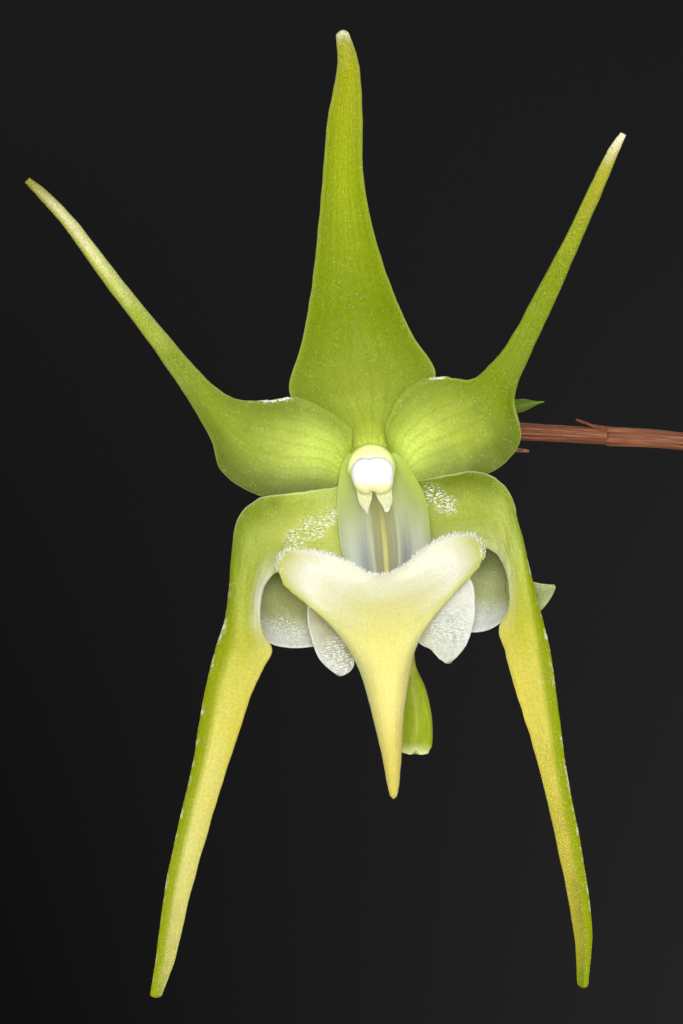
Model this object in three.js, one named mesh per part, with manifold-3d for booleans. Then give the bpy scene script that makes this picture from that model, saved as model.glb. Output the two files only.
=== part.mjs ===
// A comet orchid, Aeranthes grandiflora, in flower in a plain clay pot.
// Millimetres, +Z up. The origin is the middle of the pot's foot, on the surface it stands on.
// The flower faces -Y and hangs to the left of the pot, at the end of a wiry arching stem.

import * as THREE from 'three';
import { mergeVertices } from 'three/addons/utils/BufferGeometryUtils.js';
import Module from 'manifold-3d';

const wasm = await Module();
wasm.setup();

// Pot
const POT_HEIGHT = 88;
const POT_TOP_RADIUS = 52;
const POT_FOOT_RADIUS = 37;
const POT_WALL = 5;
const RIM_HEIGHT = 19;
const RIM_STEP = 3;
const RIM_EDGE = 1.2;
const POT_SIDES = 48;
const DRAIN_HOLES = 3;
const DRAIN_RADIUS = 4;
const DRAIN_CIRCLE = 21;

// Bark
const BARK_BELOW_RIM = 11;
const BARK_TOP = POT_HEIGHT - BARK_BELOW_RIM;
const CHIP_COUNT = 46;
const CHIP_LENGTH = [9, 17];
const CHIP_WIDTH = [6, 11];
const CHIP_DEPTH = 16;
const CHIP_RISE = [0.6, 4.6];
const CHIP_SEED = 12;

// Gap that neighbouring pieces keep, and the wider one of the holes that roots and stem stand in
const GAP = 0.35;
const HOLE_GAP = 0.5;

// Fan of leaves: its plane is turned from the flower's, so that no leaf crosses the flower
const FAN_TURN = 110;
const STEM_BOTTOM = BARK_TOP - 9;
// Half sizes of the short stem at even heights; its upper part is the youngest leaf, still folded
const STEM_TOP = BARK_TOP + 79;
const STEM_WIDE = [8.6, 10.6, 10.2, 8.2, 5.6, 4.2, 3.6, 2.8, 0.7];
const STEM_THIN = [5, 5.9, 5.6, 4.6, 3.1, 2, 1.5, 1.2, 0.6];
// Share of a leaf's length, share of its width there, and how far it is folded along its midrib in degrees
const LEAF_OUTLINE = [
  [0, 0.3, 66], [0.12, 0.6, 50], [0.26, 0.86, 32], [0.42, 1, 20], [0.58, 1, 15],
  [0.74, 0.95, 13], [0.86, 0.83, 12], [0.94, 0.66, 11], [1, 0.36, 10],
];
const LEAF_NOTCH = [3.2, 0.8];
const LEAF_THICK = 1.3;
const LEAF_EDGE = 0.7;
// side +1 is the rank behind the flower stem; angles in degrees above the horizon
const LEAVES = [
  { side: -1, height: 15, length: 168, width: 29, rise: 36, droop: 62, turn: 7 },
  { side: 1, height: 19, length: 176, width: 31, rise: 40, droop: 66, turn: -4 },
  { side: -1, height: 25, length: 196, width: 32, rise: 52, droop: 70, turn: -5 },
  { side: 1, height: 30, length: 190, width: 32, rise: 56, droop: 62, turn: 6 },
  { side: -1, height: 36, length: 166, width: 30, rise: 68, droop: 50, turn: 4 },
  { side: 1, height: 41, length: 128, width: 25, rise: 78, droop: 30, turn: -5 },
];

// Roots: heading in degrees from +X, reach over the bark, how high they arch, radius
const ROOTS = [
  { heading: 20, reach: 31, arch: 7, radius: 2.4 },
  { heading: 78, reach: 27, arch: 6, radius: 2.1 },
  { heading: 146, reach: 32, arch: 8, radius: 2.5 },
  { heading: 218, reach: 29, arch: 6, radius: 2.2 },
  { heading: 262, reach: 34, arch: 7, radius: 2.3 },
];
const ROOT_SIDES = 7;
const ROOT_BURIED = 12;
const HANGING_ROOT = {
  radius: 2.3,
  path: [
    [2, -1, BARK_TOP - 1], [22, -12, BARK_TOP + 9], [38, -21, BARK_TOP + 13.5], [48.5, -27, POT_HEIGHT + 3.2],
    [56, -31.5, POT_HEIGHT - 6], [56.5, -33.5, POT_HEIGHT - 26], [52, -35, POT_HEIGHT - 44],
  ],
};

// Flower: the place of its column, and every outline below in millimetres from there,
// x to the viewer's right, y away from the viewer, z up
const FLOWER_AT = [-150, -40, 165];
const TEPAL_THICK = 0.9;
const TEPAL_EDGE = 0.6;

// Each row is one line across the blade: a margin, the midrib, the other margin
const DORSAL_SEPAL = [
  [[-2, 5.5, 3.3], [-0.1, 6, 3.3], [1.9, 5.5, 3.3]],
  [[-6.3, 6, 5.8], [-0.3, 7.5, 6.4], [4.8, 6, 6.3]],
  [[-10.4, 5.5, 9.7], [-1, 8, 11.4], [8.1, 5.5, 11.9]],
  [[-8.9, 5.5, 15.8], [-1.9, 7.5, 17.1], [5.2, 5.5, 17]],
  [[-7.7, 5.2, 22.1], [-2.5, 6.6, 22.8], [2.7, 5.2, 22.5]],
  [[-6.8, 4.6, 29.6], [-3.2, 5.6, 29.9], [0.3, 4.6, 29.7]],
  [[-6.1, 3.8, 37.1], [-3.6, 4.6, 37.4], [-1.1, 3.8, 37.2]],
  [[-5.5, 3, 44], [-3.4, 3.6, 44.4], [-1.2, 3, 44.6]],
  [[-4.3, 2, 50.4], [-2.9, 2.4, 50.7], [-1.7, 2, 50.9]],
  [[-4.4, 0.3, 54.4], [-3.7, 0.4, 55], [-3.1, 0.3, 54.6]],
];
const PETAL_LEFT = [
  [[-4.1, 4.4, -1.6], [-3.8, 4.5, 0.8], [-3, 4, 3.1]],
  [[-7, 4.6, -2.9], [-6.2, 4.6, 2.2], [-3.4, 3.2, 5.9]],
  [[-13, 3.9, -3.5], [-10.9, 4.4, 2.9], [-8.6, 3.2, 9]],
  [[-18.6, 2.6, -0.5], [-15.3, 3.4, 4.2], [-13, 2.6, 8.8]],
  [[-20.2, 1.6, 4], [-18.8, 2.2, 6.9], [-17, 1.8, 8.9]],
  [[-23.5, 0.6, 9.6], [-22.1, 0.9, 10.9], [-20.8, 0.6, 11.4]],
  [[-28.6, -0.8, 17], [-27.7, -0.6, 17.7], [-26.8, -0.8, 18.3]],
  [[-33.4, -2.5, 23.4], [-32.7, -2.3, 24], [-31.9, -2.5, 24.6]],
  [[-37.9, -4, 29.7], [-37.3, -3.9, 30.3], [-36.7, -4, 30.8]],
  [[-41.1, -5, 33.5], [-40.6, -4.9, 33.9], [-40.1, -5, 34.3]],
  [[-43.1, -5.8, 35.6], [-42.8, -5.8, 35.9], [-42.5, -5.8, 36.2]],
];
const PETAL_RIGHT = [
  [[3, 4.1, 3.1], [4.2, 4.5, 1], [5.2, 4.7, -1]],
  [[1.9, 3.3, 5.8], [5.4, 4.4, 2.9], [8.2, 4.5, -1.3]],
  [[4.5, 3.2, 10.3], [8.6, 4.4, 4.8], [11.8, 3.9, -1]],
  [[8.5, 2.8, 11.8], [12.7, 3.4, 6.7], [16.3, 2.6, 0.5]],
  [[12.3, 2.2, 11.3], [15.1, 2.6, 8.6], [18.7, 1.8, 4]],
  [[15, 1.2, 13.4], [16.7, 1.4, 12], [17.8, 1.2, 9]],
  [[17.4, 0.6, 16.6], [18.6, 0.7, 15.6], [20.1, 0.6, 15]],
  [[20.7, -0.8, 22.6], [21.9, -0.6, 22], [23, -0.8, 21.4]],
  [[24.4, -2.6, 29.6], [25.3, -2.5, 29.1], [26.1, -2.6, 28.7]],
  [[27.3, -4.2, 35.8], [28.1, -4.1, 35.4], [28.8, -4.2, 35]],
  [[29.4, -5, 39.9], [30, -5, 39.7], [30.6, -5, 39.4]],
  [[30.8, -5.6, 41.8], [31.1, -5.6, 41.7], [31.5, -5.6, 41.5]],
];
const LATERAL_SEPAL_LEFT = [
  [[-2.4, 14.4, -17.4], [-3.9, 11.2, -10.3], [-5, 2.3, -2.2]],
  [[-5.8, 13.4, -21.4], [-7, 12.8, -12.1], [-7.8, 1.7, -2.6]],
  [[-9.1, 11, -22.3], [-10.9, 11.5, -13.1], [-11.1, 1.2, -3]],
  [[-10.8, 7.5, -22.3], [-13.4, 8, -13.8], [-14.3, 0.8, -3.6]],
  [[-13.6, 5.6, -22.4], [-15.2, 4.6, -15.1], [-16.8, 0.6, -6.1]],
  [[-12.5, 0.6, -22.6], [-14.4, 0.3, -16.5], [-17.6, 0.2, -10.8]],
  [[-13.5, -0.8, -24.6], [-15.8, -1.5, -20.7], [-17.7, 0.1, -16.5]],
  [[-15.1, -1.8, -28.1], [-17.6, -2.4, -25.7], [-19.4, -0.6, -21.9]],
  [[-16.7, -2.8, -33], [-19.1, -3.2, -31.4], [-21, -1.8, -28.7]],
  [[-18.4, -3.8, -38.2], [-20.5, -4.2, -37.6], [-22.3, -3.2, -36.9]],
  [[-20.3, -5.2, -44.6], [-22.2, -5.5, -44.2], [-24, -4.8, -44.2]],
  [[-22.5, -6.4, -52.4], [-24.1, -6.6, -52.2], [-25.6, -6, -52]],
  [[-24.3, -7.2, -60.1], [-25.5, -7.4, -60], [-26.6, -7, -59.8]],
  [[-26.1, -7.8, -65.1], [-26.7, -7.9, -65.3], [-27.4, -7.7, -65.1]],
];
const LATERAL_SEPAL_RIGHT = [
  [[6.9, 2.4, -1.5], [6.5, 11.2, -9.8], [6.2, 14.2, -16.8]],
  [[9.5, 1.8, -0.6], [10.2, 12.6, -10.8], [9.6, 13.2, -19.5]],
  [[12.5, 1.4, -0.1], [13.3, 11.5, -11.6], [12.5, 11, -20.1]],
  [[15.3, 1, -0.9], [15.8, 8, -12.1], [14.2, 7.5, -20.3]],
  [[17.4, 0.7, -3.2], [18.1, 4.6, -13.6], [16.9, 5.6, -20.2]],
  [[18.4, 0.3, -7.1], [17.1, 0.2, -15.5], [15.8, 0.5, -19.9]],
  [[19.3, 0.1, -11.3], [18.5, -1.5, -18.2], [16.6, -0.8, -22.5]],
  [[20.5, -0.6, -16.1], [19.8, -2.4, -22.7], [17.4, -1.8, -25.7]],
  [[22.2, -1.8, -22.5], [20.8, -3.2, -27.9], [18.5, -2.8, -29.4]],
  [[23, -3.2, -29], [21.6, -4.2, -33.1], [20, -3.8, -34.2]],
  [[24.2, -4.8, -37.4], [22.9, -5.5, -40], [21.7, -5.2, -40.7]],
  [[25.9, -6, -47.1], [24.7, -6.6, -48.6], [23.6, -6.4, -49.5]],
  [[27.1, -7, -56.4], [26.1, -7.4, -57.1], [25, -7.2, -57.5]],
  [[26.6, -7.7, -63.9], [26, -7.9, -64.1], [25.4, -7.8, -63.7]],
];
// Corner of each side sepal that shows behind its long point
const SEPAL_CORNER_LEFT = [
  [[-14.7, 5, -19.9], [-14.4, 5.5, -17.8], [-14.5, 5, -16.1]],
  [[-16.8, 5.4, -20.5], [-17, 6, -19], [-16.8, 5.4, -17.7]],
  [[-18.2, 6, -19.6], [-18.6, 6, -19], [-18.4, 6, -18.4]],
];
const SEPAL_CORNER_RIGHT = [
  [[17.1, 5, -13.2], [16.8, 5.5, -15.1], [17.1, 5, -17.3]],
  [[20.6, 5.4, -14.1], [20.5, 6, -16], [20.4, 5.4, -18.1]],
  [[22.3, 6, -14.4], [22.1, 6.3, -15.5], [21.8, 6, -17.2]],
  [[23.3, 6.2, -14.4], [23.2, 6.2, -14.9], [23, 6.2, -15.4]],
];
const LIP = [
  [[-4.9, 1.5, -10.4], [1.6, 8.5, -13.5], [8, 1.5, -8.8]],
  [[-10.3, 0.2, -10], [1.6, 7, -14.6], [12.4, 0.2, -7.9]],
  [[-11.9, -0.4, -11.5], [1.5, 4.4, -16.3], [13.9, -0.4, -9.5]],
  [[-10.5, -0.4, -15], [1.5, 1.4, -18.5], [12.5, -0.4, -12.9]],
  [[-6.8, 0.2, -18.1], [1.6, -0.8, -21.2], [9, 0.2, -16.3]],
  [[-3.4, 0.6, -22.3], [1.9, -2, -24.2], [6.1, 0.6, -20.3]],
  [[-1, 0.2, -26.3], [2, -2.4, -28.2], [4.7, 0.2, -24]],
  [[0.4, -1.2, -31.5], [2.2, -2.8, -32.4], [3.8, -1.2, -30.2]],
  [[1.5, -2.6, -36.1], [2.5, -3.4, -36.6], [3.5, -2.6, -35.9]],
  [[2.3, -3.8, -40.7], [2.7, -4, -41], [3.1, -3.8, -40.7]],
];
const LIP_LOBE_LEFT = [
  [[-2.2, 1.3, -17.6], [-4.6, 1, -17.2], [-7.2, 0.6, -16.6]],
  [[-2.4, 4.2, -18.5], [-5, 4.2, -18], [-8, 3.4, -16.9]],
  [[-2.4, 5.6, -22], [-5, 6, -21], [-8, 4.8, -19.6]],
  [[-2.4, 6, -24.5], [-4.6, 6.6, -23.6], [-7, 5.8, -22.9]],
  [[-3.4, 6.2, -25.8], [-4.1, 6.4, -25.9], [-4.9, 6.2, -25.6]],
];
const LIP_LOBE_RIGHT = [
  [[5.6, 1.3, -15.8], [8, 1, -15.2], [10.6, 0.6, -14.2]],
  [[6, 4.2, -17.4], [9.4, 4.2, -16.4], [12.8, 3.4, -15]],
  [[6.6, 5.6, -20.6], [9.8, 6, -19.8], [13, 4.8, -18.4]],
  [[7.8, 6, -23], [10, 6.6, -22.4], [12, 5.8, -21.5]],
  [[9, 6.2, -24.3], [9.8, 6.4, -24.5], [10.7, 6.2, -24]],
];
const LIP_HINGE = { radius: [1.1, 0.8], path: [[1.6, 8, -14], [1.9, 11, -14.9], [2.2, 13.3, -15.7]] };
const COLUMN_FOOT = [
  [[-2.5, 3.2, 2], [0, 4, 2.4], [2.6, 3.2, 2]],
  [[-3.5, 2.8, 0.3], [0.5, 5.2, 0], [4.3, 2.8, 0.3]],
  [[-4, 3, -3.7], [1.2, 7.6, -4.4], [6.3, 3, -3.5]],
  [[-4.1, 5, -8.1], [1.7, 10.8, -8.8], [7.4, 5, -7.9]],
  [[-3.2, 9, -12], [2, 13.4, -12.9], [7.2, 9, -11.6]],
  [[-0.7, 12.8, -15.4], [2.3, 14.9, -16.5], [5.2, 12.8, -15.2]],
];
// Column, from its foot at the ovary to its hooded front: distance from the viewer, half width, half height
const COLUMN = [[8.6, 2.2, 2.2], [5, 2.4, 2.4], [3.6, 2.9, 2.9], [1.2, 3.1, 3.1], [-0.1, 2.5, 2.6]];
const COLUMN_LIFT = 0.2;
const TEETH = [
  [[[-2.2, 0.6, -1.6], [-1.3, 0.4, -1.7], [-0.4, 0.6, -1.6]],
    [[-1.9, -0.4, -3.2], [-1.1, -0.6, -3.2], [-0.2, -0.4, -3]],
    [[-1.3, -1, -4.4], [-0.8, -1.1, -4.4], [-0.3, -1, -4.2]],
    [[-0.7, -1.4, -5.3], [-0.5, -1.4, -5.4], [-0.3, -1.4, -5.3]]],
  [[[0.6, 0.6, -1.6], [1.5, 0.4, -1.7], [2.4, 0.6, -1.6]],
    [[0.5, -0.4, -2.9], [1.4, -0.6, -3.1], [2.4, -0.4, -3.1]],
    [[0.9, -1, -4.1], [1.6, -1.1, -4.3], [2.3, -1, -4.3]],
    [[1.5, -1.4, -5.2], [1.7, -1.4, -5.3], [1.9, -1.4, -5.2]]],
];
const ANTHER_CAP = { at: [0.05, -2, -0.4], radius: [2.65, 1.45, 2.2] };
const SPUR = {
  path: [[2.5, 15.4, -17.4], [3.6, 16.3, -21.5], [4.8, 16.8, -25.6], [5.5, 17, -28.5], [5.9, 17, -32], [5.6, 16.9, -36.6]],
  wide: [0.9, 0.8, 0.9, 1.5, 1.9, 1.1],
  deep: [0.9, 0.8, 0.8, 1.1, 1.3, 0.8],
};
// Pedicel with the ovary, from the flower's back to the flower stem
const OVARY = {
  path: [[0.1, 9.3, 0.3], [0.8, 14, 1], [4, 19.6, 3.2], [9.6, 23, 5.2]],
  radius: [1.9, 1.7, 1.3, 1],
};
const BUD = { path: [[14.2, 23.6, 7.9], [17, 23.3, 8.2], [20, 23.1, 8.6], [22.4, 23, 9]], radius: [0.6, 0.85, 0.7, 0.3] };
const FLORAL_BRACT = [
  [[12.6, 21.6, 3.3], [13.3, 22.7, 3.5], [12.6, 24, 3.5]],
  [[9.6, 20.6, 2.6], [10, 21.7, 2.9], [9.5, 22.8, 3]],
  [[6.4, 19.4, 1], [6.2, 20, 1.1], [6.1, 20.6, 1.3]],
];

// Flower stem, from the foot of the leaves to the flower, in the pot's frame
const FLOWER_STEM = {
  path: [
    [-3.5, -1.5, BARK_TOP + 9], [-14, -6.5, BARK_TOP + 27], [-34, -11, BARK_TOP + 52], [-61, -13.5, BARK_TOP + 77],
    [-90, -14.6, BARK_TOP + 89], [-109.5, -14, 168.9], [-120.3, -14.4, 169.6], [-129.4, -15, 170.1], [-137.6, -16.4, 170.5],
  ],
  radius: 1.05,
  sheaths: 8,
  sheathSwell: 0.5,
  sheathCover: 0.8,
  tipLength: 5.5,
  sides: 8,
};

// Small seeded source of numbers between 0 and 1
function dice(seed) {
  let state = seed;
  return (low = 0, high = 1) => {
    state = (state * 16807) % 2147483647;
    return low + ((high - low) * state) / 2147483647;
  };
}

// A geometry as a solid that can be cut and joined
function solid(geometry) {
  const bare = geometry.clone();
  bare.deleteAttribute('normal');
  bare.deleteAttribute('uv');
  const merged = mergeVertices(bare, 1e-4);
  return new wasm.Manifold(new wasm.Mesh({
    numProp: 3,
    vertProperties: merged.attributes.position.array,
    triVerts: Uint32Array.from(merged.index.array),
  }));
}

// A solid back as a geometry
function geometryOf(manifold) {
  const mesh = manifold.getMesh();
  const points = [];
  for (let i = 0; i < mesh.numVert; i += 1) {
    points.push(...mesh.vertProperties.subarray(i * mesh.numProp, i * mesh.numProp + 3));
  }
  const geometry = new THREE.BufferGeometry();
  geometry.setAttribute('position', new THREE.Float32BufferAttribute(points, 3));
  geometry.setIndex([...mesh.triVerts]);
  geometry.computeVertexNormals();
  return geometry;
}

// Volume inside a closed geometry, negative where its faces point inwards
function signedVolume(points, faces) {
  let sum = 0;
  for (let i = 0; i < faces.length; i += 3) {
    const [a, b, c] = [0, 1, 2].map((k) => points[faces[i + k]]);
    sum += a.dot(b.clone().cross(c)) / 6;
  }
  return sum;
}

// Closed skin over rings of equally many points, with both end rings filled across.
// Each ring lists its front from one side to the other and then its back.
function skin(rings, flatEnds) {
  const count = rings[0].length;
  const points = rings.flat();
  const faces = [];
  for (let j = 0; j + 1 < rings.length; j += 1) {
    for (let i = 0; i < count; i += 1) {
      const a = j * count + i;
      const b = j * count + ((i + 1) % count);
      faces.push(a, b, b + count, a, b + count, a + count);
    }
  }
  for (const [start, turn] of [[0, 1], [(rings.length - 1) * count, 0]]) {
    for (let i = 0; i < count / 2 - 1; i += 1) {
      const quad = flatEnds
        ? [start + i, start + i + 1, start + count - 2 - i, start + count - 1 - i]
        : null;
      if (!quad) break;
      const [p, q, r, s] = turn ? [...quad].reverse() : quad;
      faces.push(p, q, r, p, r, s);
    }
  }
  if (signedVolume(points, faces) < 0) {
    for (let i = 0; i < faces.length; i += 3) {
      [faces[i + 1], faces[i + 2]] = [faces[i + 2], faces[i + 1]];
    }
  }
  const geometry = new THREE.BufferGeometry();
  geometry.setAttribute('position', new THREE.Float32BufferAttribute(points.flatMap((p) => p.toArray()), 3));
  geometry.setIndex(faces);
  geometry.computeVertexNormals();
  return geometry;
}

function smoothCurve(points) {
  return new THREE.CatmullRomCurve3(points.map((p) => new THREE.Vector3(...p)), false, 'catmullrom', 0.5);
}

// A value between the given stations, on the same smooth rule as the curves
function along(values, share) {
  return smoothCurve(values.map((value) => [value, 0, 0])).getPoint(share).x;
}

// Thin blade through lines across it; each line is an arc through its two margins and its midrib
function blade(lines, { thick = TEPAL_THICK, edge = TEPAL_EDGE, steps = 2, across = 6 } = {}) {
  const rails = [0, 1, 2].map((k) => smoothCurve(lines.map((line) => line[k])));
  const rows = (lines.length - 1) * steps;
  const at = (u, v) => {
    const [left, middle, right] = rails.map((rail) => rail.getPoint(THREE.MathUtils.clamp(v, 0, 1)));
    return left.multiplyScalar((u * u - u) / 2)
      .addScaledVector(middle, 1 - u * u)
      .addScaledVector(right, (u * u + u) / 2);
  };
  const nudge = 1e-3;
  const facing = (u, v) => {
    const wide = at(u + nudge, v).sub(at(u - nudge, v));
    const long = at(u, Math.min(1, v + nudge)).sub(at(u, Math.max(0, v - nudge)));
    return wide.cross(long).normalize();
  };
  const rings = [];
  for (let j = 0; j <= rows; j += 1) {
    const v = j / rows;
    const front = [];
    const back = [];
    for (let i = 0; i <= across; i += 1) {
      const u = (2 * i) / across - 1;
      const half = (edge + (thick - edge) * (1 - u * u)) / 2;
      const middle = at(u, v);
      const normal = facing(u, v);
      front.push(middle.clone().addScaledVector(normal, half));
      back.unshift(middle.clone().addScaledVector(normal, -half));
    }
    rings.push([...front, ...back]);
  }
  return skin(rings, true);
}

// Stalk of oval section along a curve; wide and deep are its half sizes at even stations
function stalk(path, wide, { deep = wide, steps = 4, sides = 8 } = {}) {
  const curve = smoothCurve(path);
  const rows = (path.length - 1) * steps;
  const side = new THREE.Vector3(0, 1, 0.02).cross(curve.getTangent(0)).normalize();
  const rings = [];
  for (let j = 0; j <= rows; j += 1) {
    const share = j / rows;
    const middle = curve.getPoint(share);
    const ahead = curve.getTangent(share);
    side.addScaledVector(ahead, -side.dot(ahead)).normalize();
    const up = ahead.clone().cross(side);
    const ring = [];
    for (let i = 0; i < sides; i += 1) {
      const turn = (2 * Math.PI * i) / sides;
      ring.push(middle.clone()
        .addScaledVector(side, along(wide, share) * Math.cos(turn))
        .addScaledVector(up, along(deep, share) * Math.sin(turn)));
    }
    rings.push(ring);
  }
  return skin(rings, true);
}

function potSolid() {
  const rimFoot = POT_HEIGHT - RIM_HEIGHT;
  const bodyTop = POT_TOP_RADIUS - RIM_STEP;
  const profile = [
    [0, 0], [POT_FOOT_RADIUS - RIM_EDGE, 0], [POT_FOOT_RADIUS, RIM_EDGE],
    [bodyTop - RIM_EDGE, rimFoot], [POT_TOP_RADIUS - RIM_EDGE, rimFoot], [POT_TOP_RADIUS - 0.4, rimFoot + RIM_EDGE],
    [POT_TOP_RADIUS, POT_HEIGHT - RIM_EDGE], [POT_TOP_RADIUS - RIM_EDGE, POT_HEIGHT],
    [POT_TOP_RADIUS - RIM_STEP - POT_WALL + RIM_EDGE, POT_HEIGHT], [innerRadius(POT_HEIGHT), POT_HEIGHT - RIM_EDGE],
    [innerRadius(POT_WALL), POT_WALL], [0, POT_WALL],
  ];
  const lathe = new THREE.LatheGeometry(profile.map(([r, z]) => new THREE.Vector2(r, z)), POT_SIDES);
  let pot = solid(lathe.rotateX(Math.PI / 2));
  for (let i = 0; i < DRAIN_HOLES; i += 1) {
    const turn = (2 * Math.PI * i) / DRAIN_HOLES;
    const hole = new THREE.CylinderGeometry(DRAIN_RADIUS, DRAIN_RADIUS, 3 * POT_WALL, 16).rotateX(Math.PI / 2);
    hole.translate(DRAIN_CIRCLE * Math.cos(turn), DRAIN_CIRCLE * Math.sin(turn), 0);
    pot = pot.subtract(solid(hole));
  }
  return pot;
}

// Radius of the pot's inside at a height
function innerRadius(height) {
  const top = POT_TOP_RADIUS - RIM_STEP - POT_WALL;
  const foot = POT_FOOT_RADIUS - POT_WALL;
  return foot + ((top - foot) * (height - POT_WALL)) / (POT_HEIGHT - POT_WALL);
}

// What fills the inside of the pot up to a height, clear of its wall
function fillingTo(height) {
  const bottom = POT_WALL + GAP;
  const profile = [
    [0, bottom], [innerRadius(bottom) - GAP, bottom], [innerRadius(height) - GAP, height], [0, height],
  ];
  const lathe = new THREE.LatheGeometry(profile.map(([r, z]) => new THREE.Vector2(r, z)), POT_SIDES);
  return solid(lathe.rotateX(Math.PI / 2));
}

// Bark: a filling with loose chips bedded in its top, cut out where stem and roots stand in it
function barkSolid(standingHole) {
  let bark = fillingTo(BARK_TOP);
  const roll = dice(CHIP_SEED);
  for (let i = 0; i < CHIP_COUNT; i += 1) {
    const size = [roll(...CHIP_LENGTH), roll(...CHIP_WIDTH), CHIP_DEPTH];
    const reach = innerRadius(BARK_TOP) - GAP - Math.hypot(size[0], size[1]) / 2;
    const ring = reach * Math.sqrt((i + 0.5) / CHIP_COUNT);
    const turn = i * 2.39996;
    const chip = new THREE.BoxGeometry(...size).translate(0, 0, -CHIP_DEPTH / 2);
    chip.rotateX(roll(-0.3, 0.3));
    chip.rotateY(roll(-0.35, 0.35));
    chip.rotateZ(roll(0, Math.PI));
    chip.translate(ring * Math.cos(turn), ring * Math.sin(turn), BARK_TOP + roll(...CHIP_RISE));
    bark = bark.add(solid(chip));
  }
  return bark.intersect(fillingTo(POT_HEIGHT)).subtract(standingHole);
}

// Half sizes of the short stem, wrapped in old leaf bases, at a share of its height
function stemRings(grow) {
  const fan = THREE.MathUtils.degToRad(FAN_TURN);
  const turn = new THREE.Vector2(Math.cos(fan), Math.sin(fan));
  const rings = [];
  const rows = 2 * (STEM_WIDE.length - 1);
  const sides = 16;
  for (let j = 0; j <= rows; j += 1) {
    const share = j / rows;
    const low = j === 0 ? -grow : 0;
    const high = j === rows ? grow : 0;
    const height = STEM_BOTTOM + (STEM_TOP - STEM_BOTTOM) * share + low + high;
    const wide = along(STEM_WIDE, share) + grow;
    const thin = along(STEM_THIN, share) + grow;
    const ring = [];
    for (let i = 0; i < sides; i += 1) {
      const angle = (2 * Math.PI * i) / sides;
      const far = wide * Math.cos(angle);
      const near = thin * Math.sin(angle);
      ring.push(new THREE.Vector3(turn.x * far - turn.y * near, turn.y * far + turn.x * near, height));
    }
    rings.push(ring);
  }
  return rings;
}

// One strap leaf: it leaves the stem folded along its midrib, flattens, arches over
// and ends in two unequal round lobes
function leafSolid({ side, height, length, width, rise, droop, turn }) {
  const heading = THREE.MathUtils.degToRad(FAN_TURN + (side < 0 ? 180 : 0) + turn);
  const outward = new THREE.Vector3(Math.cos(heading), Math.sin(heading), 0);
  const sideways = new THREE.Vector3(-Math.sin(heading), Math.cos(heading), 0);
  const up = new THREE.Vector3(0, 0, 1);
  const lines = [];
  const middle = outward.clone().multiplyScalar(4).addScaledVector(up, BARK_TOP + height - 4);
  const slope = (share) => THREE.MathUtils.degToRad(rise - droop * share ** 1.5);
  const fine = 120;
  let row = 0;
  for (let i = 0; i <= fine; i += 1) {
    const share = i / fine;
    if (share >= LEAF_OUTLINE[row][0] - 1e-6) {
      const [, wide, fold] = LEAF_OUTLINE[row];
      const ahead = outward.clone().multiplyScalar(Math.cos(slope(share))).addScaledVector(up, Math.sin(slope(share)));
      const over = sideways.clone().cross(ahead).negate();
      const open = THREE.MathUtils.degToRad(fold);
      const notch = row === LEAF_OUTLINE.length - 1 ? LEAF_NOTCH : [0, 0];
      lines.push([-1, 0, 1].map((k) => middle.clone()
        .addScaledVector(sideways, (k * wide * width * Math.cos(open)) / 2)
        .addScaledVector(over, (Math.abs(k) * wide * width * Math.sin(open)) / 2)
        .addScaledVector(ahead, k < 0 ? notch[0] : k * notch[1])
        .toArray()));
      row += 1;
    }
    const next = slope(share + 0.5 / fine);
    middle.addScaledVector(outward, (length / fine) * Math.cos(next));
    middle.addScaledVector(up, (length / fine) * Math.sin(next));
  }
  const leaf = solid(blade(lines, { thick: LEAF_THICK, edge: LEAF_EDGE, steps: 2, across: 4 }));
  return leaf.subtract(solid(skin(stemRings(GAP), true)));
}

// Roots run from the crown over the bark and dive into it; one hangs over the pot's rim
function rootPaths() {
  const paths = ROOTS.map(({ heading, reach, arch, radius }) => {
    const turn = THREE.MathUtils.degToRad(heading);
    const bend = THREE.MathUtils.degToRad(heading + 14);
    const at = (share, angle, height) => [
      reach * share * Math.cos(angle), reach * share * Math.sin(angle), BARK_TOP + height,
    ];
    return {
      radius,
      path: [
        at(0.08, turn, -6), at(0.3, turn, 0.5 * arch), at(0.6, turn, arch),
        at(0.85, bend, 0.45 * arch), at(1, bend, -0.4 * ROOT_BURIED), at(1.02, bend, -ROOT_BURIED),
      ],
    };
  });
  return [...paths, HANGING_ROOT];
}

function rootTube({ path, radius }, grow) {
  const taper = path.map((_, i) => radius * (1 - 0.12 * (i / (path.length - 1))) + grow);
  const end = path.at(-1);
  const run = [...path.slice(0, -1), [end[0], end[1], end[2] - 2 * grow]];
  return solid(stalk(run, taper, { steps: 3, sides: ROOT_SIDES }));
}

// The short stem with its roots, as one body, or the larger hole that it stands in
function stemSolid(grow) {
  const stem = solid(skin(stemRings(grow), true));
  return rootPaths().map((root) => rootTube(root, grow)).reduce((sum, tube) => sum.add(tube), stem);
}

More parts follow.
